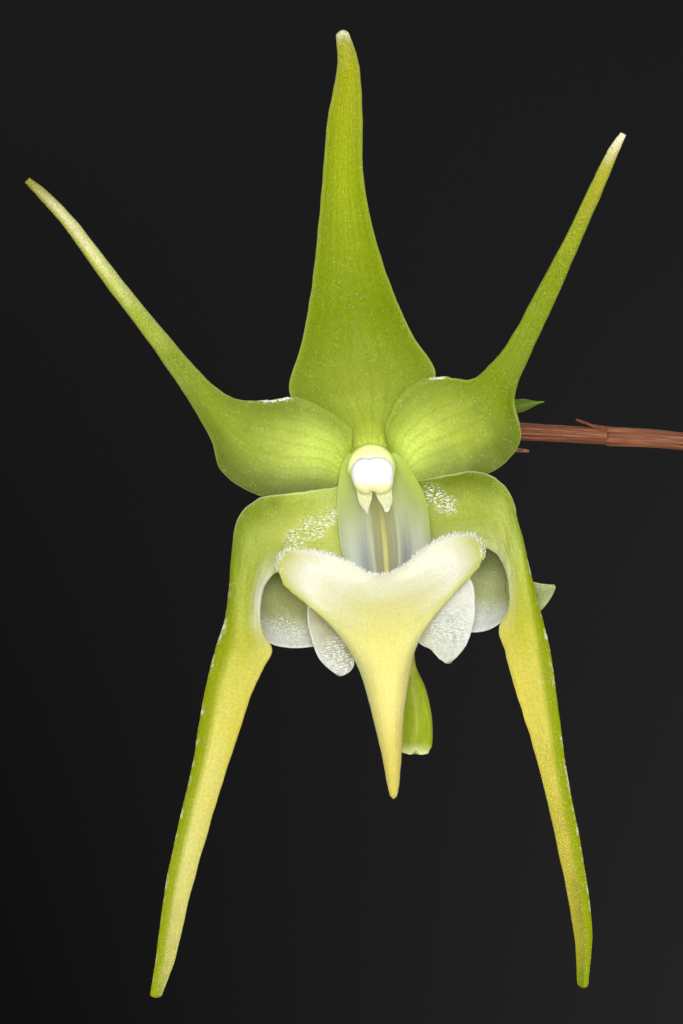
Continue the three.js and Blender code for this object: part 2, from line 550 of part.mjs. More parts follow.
// Wiry flower stem: each joint carries a dry sheath that widens to its mouth and ends in a free tip
function flowerStemSolid() {
  const { path, radius, sheaths, sheathSwell, sheathCover, tipLength, sides } = FLOWER_STEM;
  const curve = smoothCurve(path);
  const rings = [];
  const tips = [];
  const addRing = (share, size) => {
    const middle = curve.getPointAt(share);
    const ahead = curve.getTangentAt(share);
    const side = new THREE.Vector3(0, 1, 0.02).cross(ahead).normalize();
    const up = ahead.clone().cross(side);
    rings.push(Array.from({ length: sides }, (_, i) => {
      const angle = (2 * Math.PI * i) / sides;
      return middle.clone().addScaledVector(side, size * Math.cos(angle)).addScaledVector(up, size * Math.sin(angle));
    }));
    return { middle, ahead, up };
  };
  for (let i = 0; i < sheaths; i += 1) {
    const start = i / sheaths;
    const mouth = start + sheathCover / sheaths;
    addRing(start, radius + 0.15);
    addRing((start + mouth) / 2, radius + 0.6 * sheathSwell);
    const { middle, ahead, up } = addRing(mouth, radius + sheathSwell);
    addRing(mouth + 0.004, radius);
    const tip = new THREE.ConeGeometry(0.75, tipLength, 5);
    const turn = new THREE.Quaternion().setFromUnitVectors(
      new THREE.Vector3(0, 1, 0),
      ahead.clone().addScaledVector(up, i % 2 ? -0.28 : 0.28).normalize(),
    );
    tip.applyQuaternion(turn);
    const lift = middle.clone().addScaledVector(up, (i % 2 ? -1 : 1) * (radius + 0.25)).addScaledVector(ahead, 1.2);
    tips.push(solid(tip.translate(...lift.toArray())));
  }
  addRing(1, radius);
  const stem = tips.reduce((sum, tip) => sum.add(tip), solid(skin(rings, true)));
  return stem.subtract(stemSolid(GAP));
}

function columnSolid() {
  const rings = COLUMN.map(([depth, wide, high]) => Array.from({ length: 14 }, (_, i) => {
    const angle = (2 * Math.PI * i) / 14;
    return new THREE.Vector3(wide * Math.cos(angle), depth, COLUMN_LIFT + high * Math.sin(angle));
  }));
  const teeth = TEETH.map((lines) => solid(blade(lines, { thick: 0.7, edge: 0.6, steps: 1, across: 2 })));
  const foot = solid(blade(COLUMN_FOOT, { thick: 0.8, across: 8 }));
  return teeth.reduce((sum, tooth) => sum.add(tooth), solid(skin(rings, true)).add(foot));
}

// Side sepal: the hooded blade with its long point, and the corner behind it
function sideSepalSolid(lines, corner) {
  return solid(blade(lines)).add(solid(blade(corner, { thick: 0.6, across: 4 })));
}

// Lip: the lobed blade with its long point, two reflexed flaps behind it and the claw at its hinge
function lipSolid() {
  const flaps = [LIP_LOBE_LEFT, LIP_LOBE_RIGHT].map((lines) => solid(blade(lines, { thick: 0.7, across: 4 })));
  const claw = solid(stalk(LIP_HINGE.path, [...LIP_HINGE.radius, 0.7], { steps: 2, sides: 6 }));
  return flaps.reduce((sum, flap) => sum.add(flap), solid(blade(LIP, { across: 8 })).add(claw));
}

function antherCap() {
  const cap = new THREE.SphereGeometry(1, 14, 8);
  return cap.scale(...ANTHER_CAP.radius).translate(...ANTHER_CAP.at);
}

const finish = (color, roughness) => new THREE.MeshStandardMaterial({ color, roughness, metalness: 0 });
const clay = finish('#b5653c', 0.9);
const barkBrown = finish('#6a4029', 0.95);
const leafGreen = finish('#2f5a1e', 0.45);
const sheathGreen = finish('#5c7a35', 0.6);
const dryBrown = finish('#8a5236', 0.8);
const tepalGreen = finish('#a2c130', 0.5);
const lipCream = finish('#e6e3a0', 0.5);
const columnPale = finish('#d4dc8a', 0.45);
const capWhite = finish('#fbfbe6', 0.4);
const spurGreen = finish('#93b829', 0.4);

const plant = new THREE.Group();

function addPiece(group, name, geometry, material) {
  const mesh = new THREE.Mesh(geometry, material);
  mesh.name = name;
  group.add(mesh);
}

addPiece(plant, 'pot', geometryOf(potSolid()), clay);
addPiece(plant, 'bark', geometryOf(barkSolid(stemSolid(HOLE_GAP))), barkBrown);
addPiece(plant, 'stem', geometryOf(stemSolid(0)), sheathGreen);
LEAVES.forEach((leaf, i) => addPiece(plant, `leaf_${i + 1}`, geometryOf(leafSolid(leaf)), leafGreen));
addPiece(plant, 'flower_stem', geometryOf(flowerStemSolid()), dryBrown);

const flower = new THREE.Group();
flower.position.set(...FLOWER_AT);
plant.add(flower);
addPiece(flower, 'dorsal_sepal', blade(DORSAL_SEPAL), tepalGreen);
addPiece(flower, 'petal_left', blade(PETAL_LEFT), tepalGreen);
addPiece(flower, 'petal_right', blade(PETAL_RIGHT), tepalGreen);
addPiece(flower, 'lateral_sepal_left', geometryOf(sideSepalSolid(LATERAL_SEPAL_LEFT, SEPAL_CORNER_LEFT)), tepalGreen);
addPiece(flower, 'lateral_sepal_right', geometryOf(sideSepalSolid(LATERAL_SEPAL_RIGHT, SEPAL_CORNER_RIGHT)), tepalGreen);
addPiece(flower, 'lip', geometryOf(lipSolid()), lipCream);
addPiece(flower, 'column', geometryOf(columnSolid()), columnPale);
addPiece(flower, 'anther_cap', antherCap(), capWhite);
addPiece(flower, 'spur', stalk(SPUR.path, SPUR.wide, { deep: SPUR.deep, steps: 2 }), spurGreen);
addPiece(flower, 'ovary', stalk(OVARY.path, OVARY.radius, { steps: 3 }), spurGreen);
addPiece(flower, 'bud', stalk(BUD.path, BUD.radius, { steps: 2, sides: 6 }), spurGreen);
addPiece(flower, 'floral_bract', blade(FLORAL_BRACT, { thick: 0.6, across: 4 }), dryBrown);

export default plant;
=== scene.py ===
import math
import random
from functools import partial

import bmesh
import bpy
from bpy.props import FloatProperty, FloatVectorProperty, IntProperty, PointerProperty
from mathutils import Matrix, Vector, noise


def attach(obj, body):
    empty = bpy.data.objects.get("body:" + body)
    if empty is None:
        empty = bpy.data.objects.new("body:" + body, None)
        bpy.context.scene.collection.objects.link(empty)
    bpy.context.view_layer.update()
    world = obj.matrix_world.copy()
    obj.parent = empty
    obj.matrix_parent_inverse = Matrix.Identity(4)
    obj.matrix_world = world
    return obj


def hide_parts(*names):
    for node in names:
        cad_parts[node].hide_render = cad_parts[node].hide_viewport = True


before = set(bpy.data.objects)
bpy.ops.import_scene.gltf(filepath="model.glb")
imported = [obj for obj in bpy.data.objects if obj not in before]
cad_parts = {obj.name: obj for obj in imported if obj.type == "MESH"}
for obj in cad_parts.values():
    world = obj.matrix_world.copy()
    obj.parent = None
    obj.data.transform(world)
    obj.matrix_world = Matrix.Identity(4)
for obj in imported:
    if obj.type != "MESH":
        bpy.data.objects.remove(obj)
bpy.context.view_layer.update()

bl_info = {
    "name": "Comet Orchid in a Clay Pot",
    "version": (1, 0, 0),
    "blender": (4, 5, 0),
    "location": "View3D > Sidebar > Orchid",
    "description": "Dresses the solids of a potted comet orchid: flower, leaves, roots, bark and clay pot",
    "category": "Object",
}

MM = 0.001

# The flower's own place, in millimetres: every outline of the flower is measured from its column,
# x to the viewer's right, y away from the viewer, z up
FLOWER_AT = Vector((-150, -40, 165))

# Rows of three points across each blade, from its base to its tip: a margin, the midrib, the other margin
DORSAL_SEPAL = [
    [(-3, 6.6, 1.2), (-0.1, 7, 1.2), (2.8, 6.6, 1.2)],
    [(-3.2, 5.6, 3.3), (-0.1, 6, 3.3), (3, 5.6, 3.3)],
    [(-6.3, 6, 5.8), (-0.3, 7.5, 6.4), (4.8, 6, 6.3)],
    [(-10.4, 5.5, 9.7), (-1, 8, 11.4), (8.1, 5.5, 11.9)],
    [(-8.9, 5.5, 15.8), (-1.9, 7.5, 17.1), (5.2, 5.5, 17)],
    [(-7.7, 5.2, 22.1), (-2.5, 6.6, 22.8), (2.7, 5.2, 22.5)],
    [(-6.8, 4.6, 29.6), (-3.2, 5.6, 29.9), (0.3, 4.6, 29.7)],
    [(-6.1, 3.8, 37.1), (-3.6, 4.6, 37.4), (-1.1, 3.8, 37.2)],
    [(-5.5, 3, 44), (-3.4, 3.6, 44.4), (-1.2, 3, 44.6)],
    [(-4.3, 2, 50.4), (-2.9, 2.4, 50.7), (-1.7, 2, 50.9)],
    [(-4.4, 0.3, 54.4), (-3.7, 0.4, 55), (-3.1, 0.3, 54.6)],
]
PETAL_LEFT = [
    [(-2.4, 5.8, -1.5), (-2.1, 6.2, 0.7), (-1.6, 5.6, 2.7)],
    [(-4.1, 5, -2.6), (-3.6, 4.7, 0.6), (-2.4, 4, 3.1)],
    [(-7, 5, -3.4), (-6, 4.6, 2.2), (-2.9, 3.2, 5.7)],
    [(-13, 3.9, -3.6), (-10.9, 4.4, 2.9), (-8.6, 3.2, 9)],
    [(-18.6, 2.6, -0.5), (-15.3, 3.4, 4.2), (-13, 2.6, 8.8)],
    [(-20.2, 1.6, 4), (-18.8, 2.2, 6.9), (-17, 1.8, 8.9)],
    [(-23.5, 0.6, 9.6), (-22.1, 0.9, 10.9), (-20.8, 0.6, 11.4)],
    [(-28.6, -0.8, 17), (-27.7, -0.6, 17.7), (-26.8, -0.8, 18.3)],
    [(-33.4, -2.5, 23.4), (-32.7, -2.3, 24), (-31.9, -2.5, 24.6)],
    [(-37.9, -4, 29.7), (-37.3, -3.9, 30.3), (-36.7, -4, 30.8)],
    [(-41.1, -5, 33.5), (-40.6, -4.9, 33.9), (-40.1, -5, 34.3)],
    [(-43.1, -5.8, 35.6), (-42.8, -5.8, 35.9), (-42.5, -5.8, 36.2)],
]
PETAL_RIGHT = [
    [(1.6, 5.6, 2.8), (2.5, 6.2, 0.9), (3.3, 6, -0.9)],
    [(2.1, 4.1, 3.1), (3.9, 4.7, 0.8), (5.2, 5, -2)],
    [(1.6, 3.3, 5.7), (5.3, 4.4, 2.9), (8.2, 5, -2.2)],
    [(4.4, 3.2, 10.3), (8.6, 4.4, 4.8), (11.8, 4.2, -1.5)],
    [(8.5, 2.8, 11.8), (12.7, 3.4, 6.7), (16.3, 2.6, 0.5)],
    [(12.3, 2.2, 11.3), (15.1, 2.6, 8.6), (18.7, 1.8, 4)],
    [(15, 1.2, 13.4), (16.7, 1.4, 12), (17.8, 1.2, 9)],
    [(17.4, 0.6, 16.6), (18.6, 0.7, 15.6), (20.1, 0.6, 15)],
    [(20.7, -0.8, 22.6), (21.9, -0.6, 22), (23, -0.8, 21.4)],
    [(24.4, -2.6, 29.6), (25.3, -2.5, 29.1), (26.1, -2.6, 28.7)],
    [(27.3, -4.2, 35.8), (28.1, -4.1, 35.4), (28.8, -4.2, 35)],
    [(29.4, -5, 39.9), (30, -5, 39.7), (30.6, -5, 39.4)],
    [(30.8, -5.6, 41.8), (31.1, -5.6, 41.7), (31.5, -5.6, 41.5)],
]
SIDE_SEPAL_LEFT = [
    [(-0.8, 15, -12.5), (-1.8, 11, -7), (-2.6, 6, -1)],
    [(-3.4, 10.6, -12.8), (-4.1, 6.2, -7.5), (-4.3, 3.5, -2)],
    [(-7, 7.4, -13), (-7.3, 5, -7.8), (-7.8, 1.7, -2.6)],
    [(-10, 6.3, -12.8), (-10.4, 3.9, -8), (-11.1, 1.2, -3)],
    [(-12.1, 5, -12.9), (-13, 2.8, -9), (-14.3, 0.8, -3.6)],
    [(-13.4, 3.6, -14.3), (-14.9, 1.5, -10.9), (-16.8, 0.6, -6.1)],
    [(-14, 2.3, -16.4), (-15.8, 0.4, -13.8), (-17.6, 0.2, -10.8)],
    [(-14.1, 1.2, -18.7), (-16, -0.6, -17.4), (-17.9, 0.1, -15.8)],
    [(-13.6, 0.6, -20.6), (-16.1, -1.1, -20), (-18.3, 0, -18.6)],
    [(-12.5, 0, -22.6), (-16, -1.6, -22), (-18.9, -0.3, -20.5)],
    [(-13.6, -0.9, -24.8), (-16.9, -2.1, -24.4), (-19.6, -0.8, -22.7)],
    [(-15.1, -1.8, -28.1), (-18, -2.7, -27.6), (-20.5, -1.4, -26.3)],
    [(-16.7, -2.8, -33), (-19.1, -3.4, -32), (-21.3, -2.1, -30.5)],
    [(-18.4, -3.8, -38.2), (-20.5, -4.2, -37.6), (-22.3, -3.2, -36.9)],
    [(-20.3, -5.2, -44.6), (-22.2, -5.5, -44.2), (-24, -4.8, -44.2)],
    [(-22.5, -6.4, -52.4), (-24.1, -6.6, -52.2), (-25.6, -6, -52)],
    [(-24.3, -7.2, -60.1), (-25.5, -7.4, -60), (-26.6, -7, -59.8)],
    [(-26.1, -7.8, -65.1), (-26.7, -7.9, -65.3), (-27.4, -7.7, -65.1)],
]
SIDE_SEPAL_RIGHT = [
    [(3.6, 6, -0.4), (3.8, 12, -6), (3, 16, -11.5)],
    [(5.6, 3.6, -1.2), (6.6, 6.1, -6), (6.2, 11.6, -11)],
    [(9.5, 1.8, -0.6), (9.3, 4.8, -5.4), (9.2, 7, -10.2)],
    [(12.5, 1.4, -0.1), (12.2, 3.9, -5), (12, 6.3, -9.7)],
    [(15.3, 1, -0.9), (14.8, 2.8, -5.4), (14.3, 5, -9.8)],
    [(17.4, 0.7, -3.2), (16.9, 1.6, -7.2), (15.9, 3.6, -10.7)],
    [(18.4, 0.3, -7.1), (17.9, 0.4, -10), (16.8, 2.3, -12.5)],
    [(19.3, 0.1, -11.3), (18.6, -0.5, -13.4), (17.3, 1.2, -15.1)],
    [(20.1, -0.3, -14.4), (19, -1.1, -16.3), (17.2, 0.5, -17.5)],
    [(20.8, -0.7, -17.2), (19.2, -1.6, -18.8), (15.9, 0, -19.9)],
    [(21.5, -1.2, -19.8), (19.6, -2.1, -21.2), (16.6, -0.8, -22.5)],
    [(22.2, -1.8, -22.6), (20, -2.6, -24.2), (17.4, -1.8, -25.7)],
    [(22.7, -2.5, -26.3), (20.8, -3.3, -28.2), (18.5, -2.8, -29.4)],
    [(23.3, -3.5, -31), (21.7, -4.2, -33.1), (20, -3.8, -34.2)],
    [(24.2, -4.8, -37.9), (22.9, -5.5, -40), (21.7, -5.2, -40.7)],
    [(25.9, -6, -47.1), (24.7, -6.6, -48.6), (23.6, -6.4, -49.5)],
    [(27.1, -7, -56.4), (26.1, -7.4, -57.1), (25, -7.2, -57.5)],
    [(26.6, -7.7, -63.9), (26, -7.9, -64.1), (25.4, -7.8, -63.7)],
]
# Hollow chin of each side sepal, behind its shoulder: upper edge, deepest line, lower edge
CHIN_LEFT = [
    [(-15.5, 1.5, -14.8), (-15.7, 1, -17.4), (-15, 0.9, -19.8)],
    [(-14.7, 3.4, -13.2), (-15, 4.8, -17.3), (-14.5, 3.4, -20.7)],
    [(-13.4, 5, -12.2), (-14, 8.4, -17.2), (-13.8, 6.4, -21.3)],
    [(-11.2, 6.2, -11.5), (-11.6, 11.6, -17.2), (-11.4, 9, -22.3)],
    [(-8, 7.2, -11.2), (-8, 13.4, -17), (-8, 10.6, -22.4)],
    [(-4.5, 9.8, -11.3), (-4.5, 14.4, -16.4), (-4.8, 12.4, -21.4)],
    [(-1.5, 13.6, -11.2), (-1.5, 14.8, -15.4), (-2.4, 14.2, -18)],
]
CHIN_RIGHT = [
    [(3.6, 14.2, -17.4), (3.5, 14.8, -14.8), (3.5, 14.2, -10)],
    [(7.2, 12.4, -19.2), (6.8, 14.4, -14.8), (6.6, 10.2, -9.6)],
    [(11.2, 10.6, -20.4), (11, 13.4, -14.8), (10.8, 6.9, -9)],
    [(14.4, 9, -20.3), (14.4, 11.6, -14.9), (14.4, 5.3, -9)],
    [(16.6, 6.4, -19), (16.9, 8.4, -15), (16.6, 3.3, -10.2)],
    [(17.6, 3.4, -18.3), (18, 4.6, -15), (17.7, 1.9, -11.4)],
    [(17.9, 0.9, -17.4), (18.5, 0.8, -15), (18.1, 0.9, -12.6)],
]
SEPAL_CORNER_LEFT = [
    [(-14.7, 5, -19.9), (-14.4, 5.5, -17.8), (-14.5, 5, -16.1)],
    [(-16.8, 5.4, -20.5), (-17, 6, -19), (-16.8, 5.4, -17.7)],
    [(-18.2, 6, -19.6), (-18.6, 6, -19), (-18.4, 6, -18.4)],
]
SEPAL_CORNER_RIGHT = [
    [(17.1, 5, -13.2), (16.8, 5.5, -15.1), (17.1, 5, -17.3)],
    [(20.6, 5.4, -14.1), (20.5, 6, -16), (20.4, 5.4, -18.1)],
    [(22.3, 6, -14.4), (22.1, 6.3, -15.5), (21.8, 6, -17.2)],
    [(23.3, 6.2, -14.4), (23.2, 6.2, -14.9), (23, 6.2, -15.4)],
]
LIP = [
    [(-2.6, 5.4, -11.6), (1.6, 8.5, -13.4), (5.9, 5.2, -10.4)],
    [(-6.4, 1.4, -10.15), (1.6, 7.6, -14), (9, 1.2, -8.4)],
    [(-10.6, 0.2, -9.95), (1.6, 6.6, -14.8), (12.6, 0.2, -8.1)],
    [(-12, -0.4, -11.7), (1.5, 4.4, -16.4), (14.1, -0.4, -10.2)],
    [(-11.2, -0.5, -14.1), (1.5, 2.6, -17.6), (13.5, -0.4, -12)],
    [(-8.9, -0.2, -16.2), (1.5, 1, -19), (11.5, -0.1, -14.2)],
    [(-6.2, 0.2, -18.2), (1.6, -0.7, -21.1), (9, 0.2, -16.6)],
    [(-3.6, 0.6, -21.2), (1.8, -1.7, -23.6), (6.6, 0.6, -19.7)],
    [(-1.8, 0.5, -24.2), (1.95, -2.3, -26.2), (5.3, 0.4, -22.3)],
    [(-0.7, 0, -27.2), (2.05, -2.5, -29), (4.6, -0.2, -25.3)],
    [(0.45, -1.2, -31.6), (2.2, -2.8, -32.6), (3.85, -1.2, -30.4)],
    [(1.5, -2.6, -36.1), (2.5, -3.4, -36.6), (3.5, -2.6, -35.9)],
    [(2.3, -3.8, -40.7), (2.7, -4, -41), (3.1, -3.8, -40.7)],
]
LIP_FLAP_LEFT = [
    [(-2.2, 3.3, -17.6), (-4.6, 3, -17.2), (-7.2, 2.2, -16.6)],
    [(-2.4, 4.2, -18.5), (-5, 4.2, -18), (-8, 3.4, -16.9)],
    [(-2.4, 5.6, -22), (-5, 6, -21), (-8, 4.8, -19.6)],
    [(-2.2, 6, -24.3), (-4.7, 6.6, -23.8), (-7, 5.8, -23)],
    [(-2.6, 6.2, -26), (-4, 6.4, -25.9), (-5.6, 6.2, -25.4)],
]
LIP_FLAP_RIGHT = [
    [(5.4, 3.3, -16), (8.8, 3, -15), (12.3, 2.2, -13.4)],
    [(5.6, 4.2, -18), (9.4, 4.2, -16.6), (12.9, 3.4, -15)],
    [(5.7, 5.4, -21.4), (9.7, 6, -20), (13, 4.8, -18.4)],
    [(7.6, 6, -22.7), (10, 6.6, -22.4), (12.2, 5.8, -21.4)],
    [(8.4, 6.2, -24.1), (9.7, 6.4, -24.3), (11.1, 6.2, -23.6)],
]
COLUMN_FOOT = [
    [(-2.6, 2.2, 2), (0, 3.6, 2.4), (2.7, 2.2, 2)],
    [(-3.5, 1.9, 0.3), (0.5, 4.3, 0), (4.3, 2.1, 0.3)],
    [(-4, 2.8, -3.7), (1.2, 7.4, -4.4), (6.3, 2.9, -3.5)],
    [(-4.1, 5, -8.1), (1.7, 10.8, -8.8), (7.4, 5, -7.9)],
    [(-3.2, 9, -12), (2, 13.4, -12.9), (7.2, 9, -11.6)],
    [(-0.7, 12.8, -15.4), (2.3, 14.9, -16.5), (5.2, 12.8, -15.2)],
]
TOOTH_LEFT = [
    [(-2.1, 0.2, -1.6), (-1.05, 0, -1.7), (0, 0.2, -1.6)],
    [(-1.9, -0.3, -2.7), (-0.95, -0.5, -2.8), (0, -0.3, -2.6)],
    [(-1.7, -0.7, -3.7), (-0.85, -0.8, -3.7), (-0.02, -0.7, -3.6)],
    [(-1.35, -1, -4.5), (-0.8, -1.1, -4.5), (-0.27, -1, -4.4)],
    [(-0.62, -1.4, -5.3), (-0.54, -1.4, -5.37), (-0.46, -1.4, -5.3)],
]
TOOTH_RIGHT = [
    [(0.3, 0.2, -1.6), (1.4, 0, -1.7), (2.5, 0.2, -1.6)],
    [(0.4, -0.3, -2.6), (1.4, -0.5, -2.8), (2.48, -0.3, -2.6)],
    [(0.72, -0.7, -3.6), (1.65, -0.8, -3.7), (2.55, -0.7, -3.5)],
    [(1.3, -1, -4.5), (1.9, -1.1, -4.6), (2.42, -1, -4.4)],
    [(1.68, -1.4, -5.15), (1.76, -1.4, -5.22), (1.86, -1.4, -5.1)],
]
FLORAL_BRACT = [
    [(13.8, 22.6, 5.3), (14.4, 23.8, 4.3), (13.8, 25, 5.3)],
    [(12.6, 21.8, 3.8), (13, 22.9, 3.6), (12.6, 24.2, 4)],
    [(9.6, 20.6, 2.6), (10, 21.7, 2.9), (9.5, 22.8, 3)],
    [(6.4, 19.4, 1), (6.2, 20, 1.1), (6.1, 20.6, 1.3)],
]
BUD_BRACT = [
    [(13.4, 22.9, 5), (13.6, 23.8, 4.3), (13.4, 24.8, 5)],
    [(16, 23.4, 3.5), (16.2, 24.1, 3.1), (16, 24.8, 3.6)],
    [(18.8, 23.5, 3.1), (18.8, 24.1, 2.6), (18.8, 24.7, 3.1)],
    [(20.4, 23.9, 2.7), (20.5, 24.2, 2.6), (20.4, 24.5, 2.8)],
]

# Stalks: the line each follows, and its half sizes at even places along it
COLUMN_LIFT = 0.2
CAP_AT = Vector((0.05, -2, -0.68))
CAP_HALF = Vector((2.7, 1.45, 2.32))
SPUR_LINE = [
    (2.5, 15.4, -17.4), (4.4, 16.3, -21.5), (5, 16.8, -25.6), (5.5, 17, -28.5), (5.9, 17, -32),
    (5.6, 16.9, -37.2),
]
SPUR_WIDE = [0.95, 0.85, 0.8, 0.78, 0.8, 1.15, 1.5, 1.7, 1.8, 1.95, 2.05, 1.7]
SPUR_DEEP = [0.9, 0.8, 0.8, 0.8, 0.8, 0.9, 1.05, 1.2, 1.3, 1.35, 1.2, 0.8]
CLAW_LINE = [(1.6, 8, -14), (1.9, 11, -14.9), (2.2, 13.3, -15.7)]
CLAW_WIDE = [1.1, 0.8, 0.7]
HAIR_SEED = 7
OVARY_LINE = [(0.1, 9.3, 0.3), (0.8, 14, 1), (4, 19.6, 3.2), (9, 22.8, 5.1), (13.6, 23.9, 5.5)]
OVARY_WIDE = [1.9, 1.7, 1.3, 1.05, 0.95]
BUD_LINE = [
    (12.5, 23.8, 5.7), (13, 23.7, 7.3), (15, 23.6, 7.9), (17.6, 23.3, 8.2), (20, 23.1, 8.6), (22.4, 23, 9),
]
BUD_WIDE = [0.4, 0.36, 0.4, 0.75, 0.85, 0.7, 0.3]
BUD_DEEP = [0.4, 0.36, 0.35, 0.55, 0.6, 0.5, 0.25]

# Pot, bark and the leafy stem, in millimetres from the middle of the pot's foot
POT_HEIGHT = 88
POT_TOP_RADIUS = 52
POT_FOOT_RADIUS = 37
POT_WALL = 5
RIM_HEIGHT = 19
RIM_STEP = 3
RIM_EDGE = 1.2
DRAIN_HOLES = 3
DRAIN_RADIUS = 4
DRAIN_CIRCLE = 21
BARK_TOP = 77
CHIP_COUNT = 46
CHIP_LENGTH = (9, 17)
CHIP_WIDTH = (6, 11)
CHIP_RISE = (0.6, 4.6)
CHIP_THICKNESS = 7
# How far a chip can be tilted about x and y, in radians
CHIP_LEAN = (0.3, 0.35)
SMALL_CHIP_LEAN = (0.6, 0.6)
SMALL_CHIP_SIZE = ((4, 8), (3, 5), (2, 3.4))
SMALL_CHIP_RISE = (2.2, 4.8)
CHIP_GAP = 0.35
CHIP_SEED = 12
GOLDEN_TURN = 2.39996
FAN_TURN = 110
STEM_BOTTOM = BARK_TOP - 9
STEM_TOP = BARK_TOP + 79
STEM_WIDE = [8.6, 10.6, 10.2, 8.2, 5.6, 4.2, 3.6, 2.8, 0.7]
STEM_THIN = [5, 5.9, 5.6, 4.6, 3.1, 2, 1.5, 1.2, 0.6]
# A leaf's sheath starts this far under the bark and ends this far above the leaf's foot
SHEATH_BURIED = 7
SHEATH_ABOVE = 4.5
# Share of a leaf's length, share of its width there, and how far it is folded along its midrib in degrees
LEAF_OUTLINE = [
    (0, 0.3, 66), (0.12, 0.6, 50), (0.26, 0.86, 32), (0.42, 1, 20), (0.58, 1, 15),
    (0.74, 0.95, 13), (0.86, 0.83, 12), (0.94, 0.66, 11), (1, 0.36, 10),
]
LEAF_NOTCH = (3.2, 0.8)
# The leaves stop just short of the CAD model's, so that their thickness stays inside its box
LEAF_TRIM = 0.999
# Side of the fan, height on the stem, length, width, rise and droop in degrees, turn in degrees
LEAVES = [
    (-1, 15, 168, 29, 36, 62, 7),
    (1, 19, 176, 31, 40, 66, -4),
    (-1, 25, 196, 32, 52, 70, -5),
    (1, 30, 190, 32, 56, 62, 6),
    (-1, 36, 166, 30, 68, 50, 4),
    (1, 41, 128, 25, 78, 30, -5),
]
# Heading in degrees, reach over the bark, height of the arch, radius
ROOTS = [(20, 31, 7, 2.4), (78, 27, 6, 2.1), (146, 32, 8, 2.5), (218, 29, 6, 2.2), (262, 34, 7, 2.3)]
ROOT_BURIED = 12
ROOT_BEND = 14
HANGING_ROOT = [
    (2, -1, BARK_TOP - 1), (22, -12, BARK_TOP + 9), (38, -21, BARK_TOP + 13.5),
    (48.5, -27, POT_HEIGHT + 3.2), (56, -31.5, POT_HEIGHT - 6), (56.5, -33.5, POT_HEIGHT - 26),
    (52, -35, POT_HEIGHT - 44),
]
HANGING_ROOT_RADIUS = 2.3
FLOWER_STEM = [
    (-3.5, -1.5, BARK_TOP + 9), (-14, -6.5, BARK_TOP + 27), (-34, -11, BARK_TOP + 52),
    (-61, -13.5, BARK_TOP + 77), (-90, -14.6, BARK_TOP + 89), (-109.5, -14, 168.9), (-120.3, -14.4, 169.6),
    (-129.4, -15, 170.1), (-137.6, -16.4, 170.5),
]
FLOWER_STEM_RADIUS = 1.05
STEM_STEPS = 160
SHEATHS = 8
SHEATH_COVER = 1.15

# The camera's place from the flower, in millimetres
CAMERA_FROM_FLOWER = Vector((-3.8, -700, -5.25))
LENS = 196.9
SENSOR_WIDTH = 36


def linear(code):
    """An sRGB colour such as #b5653c as linear red, green, blue and alpha; the settings hold linear ones"""
    if not isinstance(code, str):
        return tuple(code)
    parts = [int(code[i:i + 2], 16) / 255 for i in (1, 3, 5)]
    return tuple(c / 12.92 if c <= 0.04045 else ((c + 0.055) / 1.055) ** 2.4 for c in parts) + (1.0,)


def dice(seed):
    """The same small seeded source of numbers between two limits that laid the CAD model's bark"""
    state = seed

    def roll(low=0.0, high=1.0):
        nonlocal state
        state = (state * 16807) % 2147483647
        return low + (high - low) * state / 2147483647

    return roll


def through(points, share):
    """Place on the smooth curve through points; each stretch takes an equal share"""
    last = len(points) - 1
    place = min(max(share, 0.0), 1.0) * last
    k = min(int(place), last - 1)
    t = place - k
    here, ahead = points[k], points[k + 1]
    before = points[k - 1] if k else here * 2 - ahead
    beyond = points[k + 2] if k + 2 <= last else ahead * 2 - here
    return (
        here * 2 + (ahead - before) * t + (before * 2 - here * 5 + ahead * 4 - beyond) * t ** 2
        + (here * 3 - before - ahead * 3 + beyond) * t ** 3
    ) * 0.5


def evenly(points, count):
    """Places evenly spaced by length along the smooth curve through points"""
    parts = 600
    fine = [through(points, k / parts) for k in range(parts + 1)]
    reach = [0.0]
    for near, far in zip(fine, fine[1:]):
        reach.append(reach[-1] + (far - near).length)
    places = []
    k = 0
    for i in range(count):
        goal = reach[-1] * i / (count - 1)
        while k < parts - 1 and reach[k + 1] < goal:
            k += 1
        span = reach[k + 1] - reach[k]
        places.append(fine[k].lerp(fine[k + 1], (goal - reach[k]) / span))
    return places


def hill(value, middle, width):
    """A smooth bump of height 1 round the middle"""
    return math.exp(-((value - middle) / width) ** 2)


def step(value, start, end):
    """0 before start, 1 after end, smooth between"""
    t = min(max((value - start) / (end - start), 0.0), 1.0)
    return t * t * (3 - 2 * t)


# Nodes and pieces


def first(made):
    """The output that a node has in use"""
    return next(s for s in made.outputs if s.enabled)


def plug(made, inputs):
    """Sets inputs of a node. Each takes a value, a hex colour, a node whose first output feeds it, or a pair
    of a node and the name of its output."""
    link = made.id_data.links.new
    for name, value in inputs.items():
        if isinstance(name, int):
            socket = made.inputs[name]
        else:
            socket = next(s for s in made.inputs if s.enabled and s.name == name)
        if isinstance(value, bpy.types.Node):
            link(first(value), socket)
        elif isinstance(value, tuple) and isinstance(value[0], bpy.types.Node):
            link(value[0].outputs[value[1]], socket)
        else:
            socket.default_value = linear(value) if isinstance(value, str) else value


def add_node(tree, kind, inputs=None, stops=None, **settings):
    """One shader node: inputs as plug takes them, and the stops of its ramp as place: colour"""
    made = tree.nodes.new("ShaderNode" + kind)
    if kind == "Mix":
        made.data_type = "RGBA"
    for name, value in settings.items():
        setattr(made, name, value)
    plug(made, inputs or {})
    if stops:
        points = made.color_ramp.elements
        while len(points) < len(stops):
            points.new(1.0)
        for point, (place, colour) in zip(points, stops.items()):
            point.position = place
            point.color = linear(colour)
    return made


